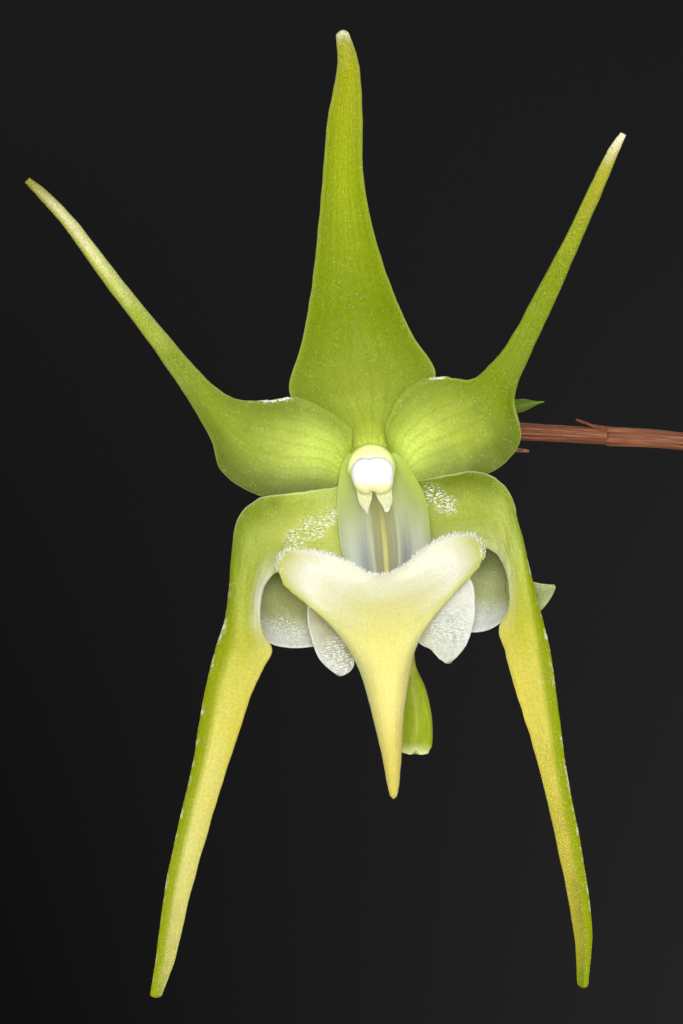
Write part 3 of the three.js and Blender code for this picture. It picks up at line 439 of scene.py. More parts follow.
def new_material(name, **sockets):
    """A material, what adds a node to it, and its Principled shader with the values that sockets gives"""
    material = bpy.data.materials.new(name)
    material.use_nodes = True
    material.node_tree.nodes.clear()
    node = partial(add_node, material.node_tree)
    shader = node("BsdfPrincipled", {key.replace("_", " "): value for key, value in sockets.items()})
    node("OutputMaterial", {"Surface": shader})
    return material, node, shader


def lay_over(node, tone, colour, value, low, high, most=1.0):
    """A colour over tone, from none where value is low to its most, a share or a mask, where it is high"""
    share = node("MapRange", {"Value": value, "From Min": low, "From Max": high, "To Max": most})
    return node("Mix", {"Factor": share, "A": tone, "B": colour})


def finish_piece(name, mesh, material, slot, *nodes, subdivide=1, wall=0.0, edge=0.0):
    """The bmesh as a smooth piece that rides on the plant and stands for its solids"""
    data = bpy.data.meshes.new(name)
    fleshy = mesh.verts.layers.deform.active is not None
    mesh.to_mesh(data)
    mesh.free()
    piece = bpy.data.objects.new(name, data)
    bpy.context.scene.collection.objects.link(piece)
    data.materials.append(material)
    for face in data.polygons:
        face.use_smooth = True
    if wall:
        shell = piece.modifiers.new("Wall", "SOLIDIFY")
        shell.thickness = wall * MM
        shell.offset = 0.0
        if fleshy:
            piece.vertex_groups.new(name="flesh")
            shell.vertex_group = "flesh"
            shell.thickness_vertex_group = 0.3
    if edge:
        bevel = piece.modifiers.new("Edge", "BEVEL")
        bevel.width = edge * MM
        bevel.segments = 2
    if subdivide:
        smooth = piece.modifiers.new("Smooth", "SUBSURF")
        smooth.levels = subdivide
        smooth.render_levels = subdivide
    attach(piece, "root")
    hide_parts(*nodes)
    return piece


class Blade:
    """The curved surface through rows of margin, midrib and margin. Across it runs from -1 to 1, up it from
    0 to 1."""

    def __init__(self, rows, crease=0.0, at=FLOWER_AT, faces=(0, -1, 0)):
        self.rails = [[Vector(row[k]) + at for row in rows] for k in range(3)]
        self.crease = crease
        self.side = 1.0
        if self.normal(0.0, 0.4).dot(Vector(faces)) < 0:
            self.side = -1.0

    def point(self, across, up):
        """Place on the surface; a creased blade folds at its midrib more than it curves over it"""
        left, middle, right = (through(rail, up) for rail in self.rails)
        square = across ** 2
        curved = left * (square - across) / 2 + middle * (1 - square) + right * (square + across) / 2
        if not self.crease:
            return curved
        folded = middle.lerp(right if across > 0 else left, abs(across))
        return curved.lerp(folded, self.crease)

    def slopes(self, across, up):
        """Directions across and up the blade"""
        nudge = 0.004
        low, high = max(0.0, up - nudge), min(1.0, up + nudge)
        wide = self.point(across + nudge, up) - self.point(across - nudge, up)
        tall = self.point(across, high) - self.point(across, low)
        return wide.normalized(), tall.normalized()

    def normal(self, across, up):
        """Direction square to the surface on its front"""
        wide, tall = self.slopes(across, up)
        return wide.cross(tall).normalized() * self.side


def blade_mesh(blade, rows, across, relief=None, thin=0.5, blunt=0.0):
    """A grid laid on the blade's surface and thinner towards its margins. relief gives how far each place is
    raised and moved across and up; blunt is the share of the length over which the tip is rounded off."""
    mesh = bmesh.new()
    mesh.loops.layers.uv.new("blade")
    flesh = mesh.verts.layers.deform.verify()
    bmesh.ops.create_grid(mesh, x_segments=across, y_segments=rows, size=1.0, calc_uvs=True)
    for vert in mesh.verts:
        u, v = vert.co.x, (vert.co.y + 1) / 2
        vert[flesh][0] = 1 - thin * abs(u) ** 3
        if v > 1 - blunt:
            u *= math.sqrt(max(0.0, 1 - ((v - 1 + blunt) / blunt) ** 2))
        place = blade.point(u, v)
        if relief:
            lift, outward, upward = relief(u, v)
            wide, tall = blade.slopes(u, v)
            place = place + wide.cross(tall).normalized() * (blade.side * lift)
            place = place + wide * outward + tall * upward
        vert.co = place * MM
    if blunt:
        bmesh.ops.remove_doubles(mesh, verts=mesh.verts, dist=1e-7)
    return mesh


def stalk_mesh(line, wide, deep=None, rows=40, sides=20, at=None, shape=None, side=None):
    """A closed stalk: a round bar cut into rings, each ring moved to its place and square to the line"""
    line = [Vector(p) + (at or Vector()) for p in line]
    deep = deep or wide
    mesh = bmesh.new()
    grain = mesh.verts.layers.float_vector.new("grain")
    bmesh.ops.create_cone(mesh, cap_ends=True, segments=sides, radius1=1, radius2=1, depth=1)
    long_edges = [e for e in mesh.edges if abs(e.verts[0].co.z - e.verts[1].co.z) > 0.5]
    bmesh.ops.subdivide_edges(mesh, edges=long_edges, cuts=rows - 1)
    side = side or Vector((0, 1, 0.02)).cross(through(line, 0.01) - line[0])
    frames = []
    for k in range(rows + 1):
        low, high = max(0.0, k / rows - 0.005), min(1.0, k / rows + 0.005)
        ahead = (through(line, high) - through(line, low)).normalized()
        side = (side - ahead * side.dot(ahead)).normalized()
        frames.append((through(line, k / rows), side.copy(), ahead.cross(side)))
    length = sum((far[0] - near[0]).length for near, far in zip(frames, frames[1:]))
    for vert in mesh.verts:
        share = vert.co.z + 0.5
        turn = math.atan2(vert.co.y, vert.co.x)
        middle, right, up = frames[round(share * rows)]
        half_wide, half_deep = through(wide, share), through(deep, share)
        swell = shape(share, turn) if shape else 1.0
        vert[grain] = Vector((math.cos(turn) * half_wide, math.sin(turn) * half_deep, share * length)) * MM
        offset = right * (math.cos(turn) * half_wide) + up * (math.sin(turn) * half_deep)
        vert.co = (middle + offset * swell) * MM
    return mesh


def turned_mesh(profile, steps, axis=(0, 0, 1), unit=MM, cuts=0):
    """A profile, listed as radius and place along the axis in units, spun into a round body"""
    mesh = bmesh.new()
    corners = [mesh.verts.new((radius * unit, along * unit * axis[1], along * unit * axis[2]))
               for radius, along in profile]
    edges = [mesh.edges.new(pair) for pair in zip(corners, corners[1:])]
    if cuts:
        bmesh.ops.subdivide_edges(mesh, edges=edges, cuts=cuts)
    bmesh.ops.spin(mesh, geom=mesh.verts[:] + mesh.edges[:], cent=(0, 0, 0), axis=axis, angle=math.tau,
                   steps=steps, use_merge=True)
    bmesh.ops.remove_doubles(mesh, verts=mesh.verts, dist=unit / 1000)
    bmesh.ops.recalc_face_normals(mesh, faces=mesh.faces)
    return mesh


def grain_from_place(mesh):
    """Lets the fibres of a small dry piece follow its own place"""
    layer = mesh.verts.layers.float_vector.new("grain")
    for vert in mesh.verts:
        vert[layer] = vert.co


def join(target, source):
    """Adds one bmesh to another"""
    data = bpy.data.meshes.new("joining")
    source.to_mesh(data)
    source.free()
    target.from_mesh(data)
    bpy.data.meshes.remove(data)


# Materials of the flower

# Line of light along the cut edge: colour, share of the half width where it starts, strength, and share of
# the length where it starts
RIM_LIGHT = ("#c9d070", 0.975, 0.35, 0.0)
CHIN_RIM_LIGHT = ("#f4f6ea", 0.95, 0.8, 0.0)


def living_tissue(name, left, middle, right, painted_sparkle=0.3, veins=0.16, torn=None, glint_patches=(), mottle=0.09,
                  outline=("#e6e9ae", 0.97, 0.5, 0.0), strip=0, **sockets):
    """Living petal tissue, watery and soft: light goes a little way in, pale specks painted on single cells
    of its skin stand for their glints, like frost, and faint veins run along it. left, middle and right are
    the colours down the two margins and the midrib, as share of the length: colour. torn is the margin,
    start and end of a dry whitish edge. The glint patches are given by place and radius: painted glints,
    wrinkled, with painted shade in their creases. outline is as RIM_LIGHT. strip is the side, -1 or 1, whose
    margin stays green down the drawn out end, with painted highlights along it."""
    values = {"Roughness": 0.5, "Specular_IOR_Level": 0.12, "Subsurface_Weight": 0.22,
              "Subsurface_Radius": (0.8, 1.0, 0.3), "Subsurface_Scale": 0.0012}
    material, node, shader = new_material(name, **(values | sockets))
    place = (node("TexCoord"), "Object")
    spread = node("UVMap", uv_map="blade")
    split = node("SeparateXYZ", {"Vector": spread})
    cloud = node("TexNoise", {"Vector": place, "Scale": 240.0, "Detail": 3.0})
    wander = node("Math", {0: cloud, 1: 0.14, 2: -0.07}, operation="MULTIPLY_ADD")
    up = node("Math", {0: (split, "Y"), 1: wander})
    across = node("Math", {0: (split, "X"), 1: wander})
    bands = [node("ValToRGB", {"Fac": up}, stops=stops) for stops in (left, middle, right)]
    to_left = node("MapRange", {"Value": across, "From Min": 0.44, "From Max": 0.02},
                   interpolation_type="SMOOTHSTEP")
    to_right = node("MapRange", {"Value": across, "From Min": 0.56, "From Max": 0.98},
                    interpolation_type="SMOOTHSTEP")
    half = node("Mix", {"Factor": to_left, "A": bands[1], "B": bands[0]})
    colour = node("Mix", {"Factor": to_right, "A": half, "B": bands[2]})
    # Veins run the length of the blade, a little darker than the tissue between them
    lines = node("TexWave", {"Vector": spread, "Scale": 2.6, "Distortion": 2.2, "Detail": 2.0},
                 bands_direction="X")
    colour = lay_over(node, colour, "#6f8a1c", (lines, "Fac"), 0.7, 1.0, veins)
    if strip:
        # The green strip widens towards the tip, and painted highlights stand for the light breaking on its
        # margin
        inward = node("Math", {0: (split, "X"), 1: float(-strip), 2: max(0.0, float(strip))},
                      operation="MULTIPLY_ADD")
        reach = node("Math", {0: up, 1: 0.4, 2: 0.06}, operation="MULTIPLY_ADD")
        gap = node("Math", {0: inward, 1: reach}, operation="SUBTRACT")
        lower = node("MapRange", {"Value": up, "From Min": 0.36, "From Max": 0.48})
        green = node("Math", {0: lower, 1: 0.9}, operation="MULTIPLY")
        colour = lay_over(node, colour, "#94a206", gap, 0.09, -0.08, green)
        broken = node("TexNoise", {"Vector": place, "Scale": 900.0, "Detail": 3.0})
        brink = node("MapRange", {"Value": inward, "From Min": 0.13, "From Max": 0.03, "To Max": lower})
        colour = lay_over(node, colour, "#f6f6dc", broken, 0.5, 0.72, brink)
    # Mottling a third of a millimetre across, where the cells are fuller or emptier
    grain = node("TexNoise", {"Vector": place, "Scale": 3000.0, "Detail": 2.0})
    shade = node("MapRange", {"Value": grain, "From Min": 0.3, "From Max": 0.7, "To Min": 1 - mottle,
                              "To Max": 1 + mottle})
    colour = node("Mix", {"Factor": 1.0, "A": colour, "B": shade}, blend_type="MULTIPLY")
    # Painted glints: pale specks on glistening cells a fifth of a millimetre apart, of which few catch the
    # light
    cells = node("TexVoronoi", {"Vector": place, "Scale": 4400.0})
    pick = node("SeparateColor", {"Color": (cells, "Color")})
    patches = node("TexNoise", {"Vector": place, "Scale": 420.0, "Detail": 1.0})
    bar = node("MapRange", {"Value": patches, "From Min": 0.35, "From Max": 0.7, "To Min": 0.99,
                            "To Max": 0.84})
    few = node("Math", {0: (pick, "Red"), 1: bar}, operation="GREATER_THAN")
    amount = node("Math", {0: few, 1: painted_sparkle}, operation="MULTIPLY")
    colour = lay_over(node, colour, "#fbffea", (cells, "Distance"), 0.42, 0.12, amount)
    # The cut edge of the blade is paler, as light comes through it
    off = node("Math", {0: (split, "X"), 1: 0.5}, operation="SUBTRACT")
    off = node("Math", {0: off}, operation="ABSOLUTE")
    line, start, strength, foot = outline
    past = node("MapRange", {"Value": (split, "Y"), "From Min": foot - 0.1, "From Max": foot,
                             "To Max": strength})
    colour = lay_over(node, colour, line, off, start / 2, 0.497, past)
    if glint_patches:
        # Painted glints in wrinkled patches, and painted shade in the creases between the glints
        glow = None
        for spot, radius in glint_patches:
            away = node("VectorMath", {0: place, 1: tuple((FLOWER_AT + Vector(spot)) * MM)},
                        operation="DISTANCE")
            near = node("MapRange", {"Value": (away, "Value"), "From Min": radius * MM, "From Max": 0.0},
                        interpolation_type="SMOOTHSTEP")
            glow = node("Math", {0: glow, 1: near}, operation="MAXIMUM") if glow else near
        slant = node("Mapping", {"Vector": place, "Rotation": (0.0, 0.7, 0.0),
                                 "Scale": (2300.0, 4200.0, 6600.0)})
        creases = node("TexNoise", {"Vector": slant, "Scale": 1.0, "Detail": 2.0, "Distortion": 0.6})
        crest = node("MapRange", {"Value": creases, "From Min": 0.54, "From Max": 0.6})
        groove = node("Math", {0: glow, 1: 0.35}, operation="MULTIPLY")
        colour = lay_over(node, colour, "#6d7650", creases, 0.46, 0.38, groove)
        glint = node("Math", {0: crest, 1: glow}, operation="MULTIPLY")
        glint = node("Math", {0: glint, 1: 2.2}, operation="MULTIPLY", use_clamp=True)
        colour = node("Mix", {"Factor": glint, "A": colour, "B": "#f8faf4"})
    if torn:
        margin, start, end = torn
        ragged = node("Math", {0: grain, 1: 0.12, 2: (split, "X")}, operation="MULTIPLY_ADD")
        ragged = node("Math", {0: ragged, 1: 0.06}, operation="SUBTRACT")
        rise = node("MapRange", {"Value": up, "From Min": start, "From Max": start + 0.02})
        dry = node("MapRange", {"Value": up, "From Min": end, "From Max": end - 0.02, "To Max": rise})
        colour = lay_over(node, colour, "#e6e8dc", ragged, 0.5 + 0.475 * margin, 0.5 + 0.49 * margin, dry)
    domes = node("Bump", {"Height": (cells, "Distance"), "Strength": 0.25, "Distance": 0.0001}, invert=True)
    ribs = node("Bump", {"Height": (lines, "Fac"), "Strength": 0.1, "Distance": 0.0002, "Normal": domes})
    plug(shader, {"Base Color": colour, "Normal": ribs})
    return material


def wax(name, colour, shade, low, high, **sockets):
    """The smooth waxy white of the cap over the pollen, creamier towards its foot: height in metres sets the
    change from shade to colour"""
    values = {"Roughness": 0.32, "Subsurface_Weight": 0.35, "Subsurface_Scale": 0.001, "Coat_Weight": 0.25}
    material, node, shader = new_material(name, **(values | sockets))
    place = (node("TexCoord"), "Object")
    split = node("SeparateXYZ", {"Vector": place})
    tone = lay_over(node, shade, colour, (split, "Z"), low, high)
    pores = node("TexNoise", {"Vector": place, "Scale": 5200.0, "Detail": 2.0})
    bump = node("Bump", {"Height": pores, "Strength": 0.12, "Distance": 0.0001})
    plug(shader, {"Base Color": tone, "Normal": bump})
    return material


def green_flesh(name, colour, shade, tip=None, tip_from=1.0, neck=None, neck_to=0.0, **sockets):
    """Firm green stalk tissue, mottled in two close greens; the neck and the tip can have their own colour,
    from places in millimetres along it"""
    values = {"Roughness": 0.38, "Subsurface_Weight": 0.2, "Subsurface_Radius": (0.8, 1.0, 0.3),
              "Subsurface_Scale": 0.001}
    material, node, shader = new_material(name, **(values | sockets))
    along = node("Attribute", attribute_name="grain")
    split = node("SeparateXYZ", {"Vector": (along, "Vector")})
    stretch = node("Mapping", {"Vector": (along, "Vector"), "Scale": (2600.0, 2600.0, 500.0)})
    cloud = node("TexNoise", {"Vector": stretch, "Scale": 1.0, "Detail": 3.0})
    tone = node("ValToRGB", {"Fac": cloud}, stops={0.3: shade, 0.68: colour})
    if tip:
        tone = lay_over(node, tone, tip, (split, "Z"), tip_from * MM, (tip_from + 1.6) * MM)
    if neck:
        tone = lay_over(node, tone, neck, (split, "Z"), (neck_to + 0.6) * MM, (neck_to - 0.6) * MM)
    bump = node("Bump", {"Height": cloud, "Strength": 0.2, "Distance": 0.0002})
    plug(shader, {"Base Color": tone, "Normal": bump})
    return material


def striped_glass(name):
    """The column's foot: clear watery tissue with a yellow vein in its middle, a white one on each side of
    it, grey wedges outside those and milky margins; the grey wedges are painted shade, the dark throat seen
    through the clear tissue. It starts as green as the sepals"""
    material, node, shader = new_material(name, Roughness=0.4, Specular_IOR_Level=0.3,
                                          Subsurface_Weight=0.15, Subsurface_Scale=0.001)
    place = (node("TexCoord"), "Object")
    spread = node("UVMap", uv_map="blade")
    split = node("SeparateXYZ", {"Vector": spread})
    stretch = node("Mapping", {"Vector": spread, "Scale": (40.0, 2.5, 1.0)})
    streak = node("TexNoise", {"Vector": stretch, "Scale": 1.0, "Detail": 3.0})
    across = node("Math", {0: streak, 1: 0.02, 2: (split, "X")}, operation="MULTIPLY_ADD")
    top = node("ValToRGB", {"Fac": across}, stops={
        0.0: "#b0c34c", 0.3: "#bcc96a", 0.5: "#b4b865", 0.7: "#bccb62", 1.0: "#aec444",
    })
    waist = node("ValToRGB", {"Fac": across}, stops={
        0.0: "#b4c26e", 0.2: "#bdc68e", 0.34: "#c0c698", 0.38: "#a9ab78", 0.47: "#a6a76c",
        0.495: "#bcbb78", 0.515: "#a6a76c", 0.64: "#abad7c", 0.67: "#c2c89c", 0.85: "#bcc68c",
        1.0: "#b0c45c",
    })
    # Painted shade: the grey wedges of the mouth stand for the dark throat seen through the clear tissue
    mouth = node("ValToRGB", {"Fac": across}, stops={
        0.02: "#ccd2b4", 0.12: "#e2e5da", 0.2: "#ccd0c8", 0.25: "#aeb3b2", 0.29: "#a9aeb2",
        0.335: "#bcbea8", 0.36: "#d6d8be", 0.39: "#a9a98c", 0.47: "#a8a67e", 0.495: "#dedb86",
        0.52: "#dedb86", 0.545: "#a8a67e", 0.64: "#a6a68a", 0.67: "#d2d4bc", 0.7: "#a9ada4",
        0.73: "#9aa0a4", 0.78: "#a4a9aa", 0.83: "#cfd3c6", 0.92: "#dee1d4", 1.0: "#c4cca4",
    })
    upper = node("MapRange", {"Value": (split, "Y"), "From Min": 0.2, "From Max": 0.44})
    lower = node("MapRange", {"Value": (split, "Y"), "From Min": 0.42, "From Max": 0.68})
    colour = node("Mix", {"Factor": upper, "A": top, "B": waist})
    colour = node("Mix", {"Factor": lower, "A": colour, "B": mouth})
    colour = lay_over(node, colour, "#d4d7c4", streak, 0.5, 0.75, 0.35)
    beads = node("TexVoronoi", {"Vector": place, "Scale": 3600.0})
    bump = node("Bump", {"Height": beads, "Strength": 0.15, "Distance": 0.0001}, invert=True)
    plug(shader, {"Base Color": colour, "Normal": bump})
    return material


def glowing_flesh(name, bright, rim):
    """Column flesh with a painted glow round the cap, as if the light filled it there: almost white beside
    it, green further off
    """
    material, node, shader = new_material(name, Roughness=0.45, Specular_IOR_Level=0.15,
                                          Subsurface_Weight=0.3, Subsurface_Radius=(0.8, 1.0, 0.4),
                                          Subsurface_Scale=0.001)
    place = (node("TexCoord"), "Object")
    centre = tuple((FLOWER_AT + Vector((0.05, 0.0, -0.3))) * MM)
    away = node("VectorMath", {0: place, 1: centre}, operation="DISTANCE")
    cloud = node("TexNoise", {"Vector": place, "Scale": 1500.0, "Detail": 3.0})
    far = node("Math", {0: cloud, 1: 0.0004, 2: (away, "Value")}, operation="MULTIPLY_ADD")
    reach = node("MapRange", {"Value": far, "From Min": 0.0022, "From Max": 0.005})
    tone = node("ValToRGB", {"Fac": reach}, stops={
        0.0: "#ffffdc", 0.22: bright, 0.42: "#f0fa98", 0.62: "#cfdf70", 0.85: rim, 1.0: "#93a834",
    })
    bump = node("Bump", {"Height": cloud, "Strength": 0.15, "Distance": 0.0001})
    plug(shader, {"Base Color": tone, "Normal": bump})
    return material


# Materials of the plant and its pot


def dry_fibre(name, colour, dark, pale):
    """Dry wiry stem and papery sheath: fibres a tenth of a millimetre wide run along it, reddish where it is
    old and straw-pale where the skin flakes"""
    material, node, shader = new_material(name, Roughness=0.62)
    along = node("Attribute", attribute_name="grain")
    fibres = node("Mapping", {"Vector": (along, "Vector"), "Scale": (4200.0, 4200.0, 110.0)})
    strand = node("TexNoise", {"Vector": fibres, "Scale": 1.0, "Detail": 4.0, "Roughness": 0.65})
    blotch = node("Mapping", {"Vector": (along, "Vector"), "Scale": (420.0, 420.0, 110.0)})
    patch = node("TexNoise", {"Vector": blotch, "Scale": 1.0, "Detail": 2.0})
    tone = node("ValToRGB", {"Fac": strand}, stops={0.36: dark, 0.47: colour, 0.54: colour, 0.64: pale})
    tone = lay_over(node, tone, pale, patch, 0.45, 0.75, 0.6)
    bump = node("Bump", {"Height": strand, "Strength": 0.55, "Distance": 0.0002})
    plug(shader, {"Base Color": tone, "Normal": bump})
    return material


def leather_leaf(name, green, deep, pale):
    """A leathery orchid leaf: dark green with a waxy gloss, a paler midrib and margin, close fine veins
    along it and faint lighter freckles"""
    material, node, shader = new_material(name, Roughness=0.36, Coat_Weight=0.15, Coat_Roughness=0.3)
    place = (node("TexCoord"), "Object")
    spread = node("UVMap", uv_map="blade")
    split = node("SeparateXYZ", {"Vector": spread})
    broad = node("TexNoise", {"Vector": place, "Scale": 45.0, "Detail": 5.0})
    tone = node("ValToRGB", {"Fac": broad}, stops={0.3: deep, 0.7: green})
    veins = node("TexWave", {"Vector": spread, "Scale": 9.0, "Distortion": 0.5, "Detail": 1.0},
                 bands_direction="X")
    tone = lay_over(node, tone, deep, (veins, "Fac"), 0.55, 1.0, 0.13)
    # The midrib is a paler line, and the margins and the folded foot are yellower
    off = node("Math", {0: (split, "X"), 1: -0.5})
    off = node("Math", {0: off}, operation="ABSOLUTE")
    tone = lay_over(node, tone, pale, off, 0.035, 0.008, 0.55)
    tone = lay_over(node, tone, pale, off, 0.475, 0.497, 0.6)
    tone = lay_over(node, tone, pale, (split, "Y"), 0.16, 0.0, 0.75)
    spots = node("TexVoronoi", {"Vector": place, "Scale": 900.0})
    tone = lay_over(node, tone, pale, (spots, "Distance"), 0.22, 0.08, 0.18)
    grain = node("TexNoise", {"Vector": place, "Scale": 1500.0, "Detail": 2.0})
    skin = node("Bump", {"Height": grain, "Strength": 0.08, "Distance": 0.0002})
    ridges = node("Bump", {"Height": (veins, "Fac"), "Strength": 0.06, "Distance": 0.0002, "Normal": skin})
    dust = node("MapRange", {"Value": broad, "To Min": 0.28, "To Max": 0.5})
    plug(shader, {"Base Color": tone, "Roughness": dust, "Normal": ridges})
    return material


def velamen(name, silver, shade, green, tip=None):
    """The spongy silver-grey skin of an air root, matt and finely pitted, with damp greenish patches; a
    growing root's tip has its own colour"""
    material, node, shader = new_material(name, Roughness=0.85)
    place = (node("TexCoord"), "Object")
    fine = node("TexNoise", {"Vector": place, "Scale": 1100.0, "Detail": 4.0})
    tone = node("ValToRGB", {"Fac": fine}, stops={0.3: shade, 0.65: silver})
    broad = node("TexNoise", {"Vector": place, "Scale": 110.0, "Detail": 3.0})
    tone = lay_over(node, tone, green, broad, 0.5, 0.72, 0.55)
    if tip:
        split = node("SeparateXYZ", {"Vector": (node("Attribute", attribute_name="grain"), "Vector")})
        tone = lay_over(node, tone, tip, (split, "Z"), 0.099, 0.107)
    bump = node("Bump", {"Height": fine, "Strength": 0.35, "Distance": 0.0003})
    plug(shader, {"Base Color": tone, "Normal": bump})
    return material


def rough_bark(name, brown, dark, orange):
    """Chips of pine bark: layered brown with orange inner cork and dark weathered faces"""
    material, node, shader = new_material(name, Roughness=0.9)
    place = (node("TexCoord"), "Object")
    layers = node("Mapping", {"Vector": place, "Rotation": (0.5, 0.3, 0.2), "Scale": (90.0, 90.0, 620.0)})
    sheet = node("TexNoise", {"Vector": layers, "Scale": 1.0, "Detail": 5.0, "Roughness": 0.7})
    tone = node("ValToRGB", {"Fac": sheet}, stops={0.3: dark, 0.48: brown, 0.62: brown, 0.76: orange})
    broad = node("TexVoronoi", {"Vector": place, "Scale": 95.0})
    chip = node("SeparateColor", {"Color": (broad, "Color")})
    tone = lay_over(node, tone, dark, (chip, "Green"), 0.4, 0.9, 0.6)
    pits = node("TexNoise", {"Vector": place, "Scale": 700.0, "Detail": 5.0})
    small = node("Bump", {"Height": pits, "Strength": 0.5, "Distance": 0.0006})
    bump = node("Bump", {"Height": sheet, "Strength": 0.7, "Distance": 0.0012, "Normal": small})
    plug(shader, {"Base Color": tone, "Normal": bump})
    return material


def terracotta(name, clay, dark, lime, bloom):
    """Unglazed red clay, turned and fired: matt, faint rings from the wheel, fine grit, and a chalky bloom
    of lime where water has dried, most at the foot"""
    material, node, shader = new_material(name, Roughness=0.88)
    place = (node("TexCoord"), "Object")
    split = node("SeparateXYZ", {"Vector": place})
    broad = node("TexNoise", {"Vector": place, "Scale": 24.0, "Detail": 6.0, "Roughness": 0.6})
    tone = node("ValToRGB", {"Fac": broad}, stops={0.3: dark, 0.6: clay})
    grit = node("TexVoronoi", {"Vector": place, "Scale": 1300.0})
    pick = node("SeparateColor", {"Color": (grit, "Color")})
    tone = lay_over(node, tone, dark, (pick, "Red"), 0.93, 1.0, 0.5)
    # Lime creeps up from the foot and gathers in drifts
    drift = node("TexNoise", {"Vector": place, "Scale": 60.0, "Detail": 7.0, "Roughness": 0.7})
    low = node("MapRange", {"Value": (split, "Z"), "From Min": 0.045, "From Max": 0.0, "To Min": -0.12,
                            "To Max": 0.16})
    both = node("Math", {0: drift, 1: low})
    tone = lay_over(node, tone, lime, both, 0.5, 0.72, bloom)
    height = node("CombineXYZ", {"Z": (split, "Z")})
    rings = node("TexNoise", {"Vector": height, "Scale": 900.0, "Detail": 2.0})
    fine = node("TexNoise", {"Vector": place, "Scale": 2200.0, "Detail": 4.0})
    small = node("Bump", {"Height": fine, "Strength": 0.3, "Distance": 0.0003})
    bump = node("Bump", {"Height": rings, "Strength": 0.2, "Distance": 0.0004, "Normal": small})
    plug(shader, {"Base Color": tone, "Normal": bump})
    return material


def painted_floor(name, colour, radius):
    """A plain pale painted floor that fades out before its edge"""
    material, node, shader = new_material(name, Roughness=0.8)
    place = (node("TexCoord"), "Object")
    cloud = node("TexNoise", {"Vector": place, "Scale": 6.0, "Detail": 2.0})
    shade = node("MapRange", {"Value": cloud, "To Min": 0.96, "To Max": 1.04})
    tone = node("Mix", {"Factor": 1.0, "A": colour, "B": shade}, blend_type="MULTIPLY")
    reach = node("VectorMath", {0: place}, operation="LENGTH")
    clear = node("MapRange", {"Value": (reach, "Value"), "From Min": radius * 0.98,
                              "From Max": radius * 0.5}, interpolation_type="SMOOTHSTEP")
    plug(shader, {"Base Color": tone, "Alpha": clear})
    return material


# Settings


def colour_property(name, description, code):
    """A colour that a user can change, from its sRGB hex value"""
    return FloatVectorProperty(name=name, description=description, subtype="COLOR", size=4, min=0.0, max=1.0,
                               default=linear(code))


def length_property(name, description, millimetres):
    """A size in metres that a user can change"""
    return FloatProperty(name=name, description=description, unit="LENGTH", min=0.0,
                         default=millimetres * MM)


class FlowerSettings(bpy.types.PropertyGroup):
    """Sizes and colours of the flower"""
    wall: length_property("Petal wall", "Thickness of sepals and petals along their midrib", 0.8)
    lip_wall: length_property("Lip wall", "Thickness of the lip and its flaps", 0.7)
    # Glisten sets the painted glints: pale specks painted on single cells of the skin
    painted_glints: FloatProperty(name="Glisten", description="How bright the frosty cells of the skin are",
                           subtype="FACTOR", min=0.0, max=1.0, default=0.34)
    hairs: IntProperty(name="Hairs", description="Number of hairs in the down on the lip's upper margin",
                       min=0, default=900)
    hair_length: length_property("Hair length", "Length of a hair of that down", 0.62)
    cap: colour_property("Cap", "White of the cap over the pollen", "#ffffff")
    cap_foot: colour_property("Cap foot", "Creamier tone at the cap's foot", "#f1efb0")
    # The hood colour is the painted glow of the column round the cap
    hood: colour_property("Hood", "Column round the cap", "#fbffb4")
    spur: colour_property("Spur", "Nectar spur behind the lip", "#a3b62c")
    bud: colour_property("Bud", "Next bud on the stem", "#6f8722")


class PlantSettings(bpy.types.PropertyGroup):
    """Sizes and colours of leaves, stems and roots"""
    leaf_wall: length_property("Leaf wall", "Thickness of a leaf along its midrib", 1.3)
    leaf: colour_property("Leaf", "Upper face of a leaf", "#3c6a24")
    flower_stem: colour_property("Flower stem", "Wiry flower stem and its sheaths", "#7a401f")
    sheath: colour_property("Leaf sheath", "Short stem wrapped in leaf sheaths", "#6b8a3c")
    root: colour_property("Root", "Dry air root", "#b9bdae")


class PotSettings(bpy.types.PropertyGroup):
    """Colours and finish of the pot and its bark"""
    clay: colour_property("Clay", "Fired clay", "#b5653c")
    bloom: FloatProperty(name="Lime bloom", description="How much chalky lime has dried on the clay",
                         subtype="FACTOR", min=0.0, max=1.0, default=0.5)
    bark: colour_property("Bark", "Weathered face of a chip of bark", "#6a4029")
    small_chips: IntProperty(name="Small chips", description="Number of small chips that fill in between",
                             min=0, default=70)


class StageSettings(bpy.types.PropertyGroup):
    """Floor, backdrop and lights"""
    floor: colour_property("Floor", "Pale floor", "#d9d6d0")
    backdrop: colour_property("Backdrop", "What the camera sees behind the flower", "#1d1c1c")
    floor_radius: length_property("Floor radius", "Reach of the floor before it has faded out", 940)
    key_power: FloatProperty(name="Key light", description="Power of the large soft light beside the camera",
                             unit="POWER", min=0.0, default=5.4)
    fill_power: FloatProperty(name="Fill lights", description="Power of each soft light at the sides",
                              unit="POWER", min=0.0, default=1.3)
    ambient: FloatProperty(name="Ambient", description="Strength of the even light from all round",
                           min=0.0, default=0.14)


# Pot, bark and roots


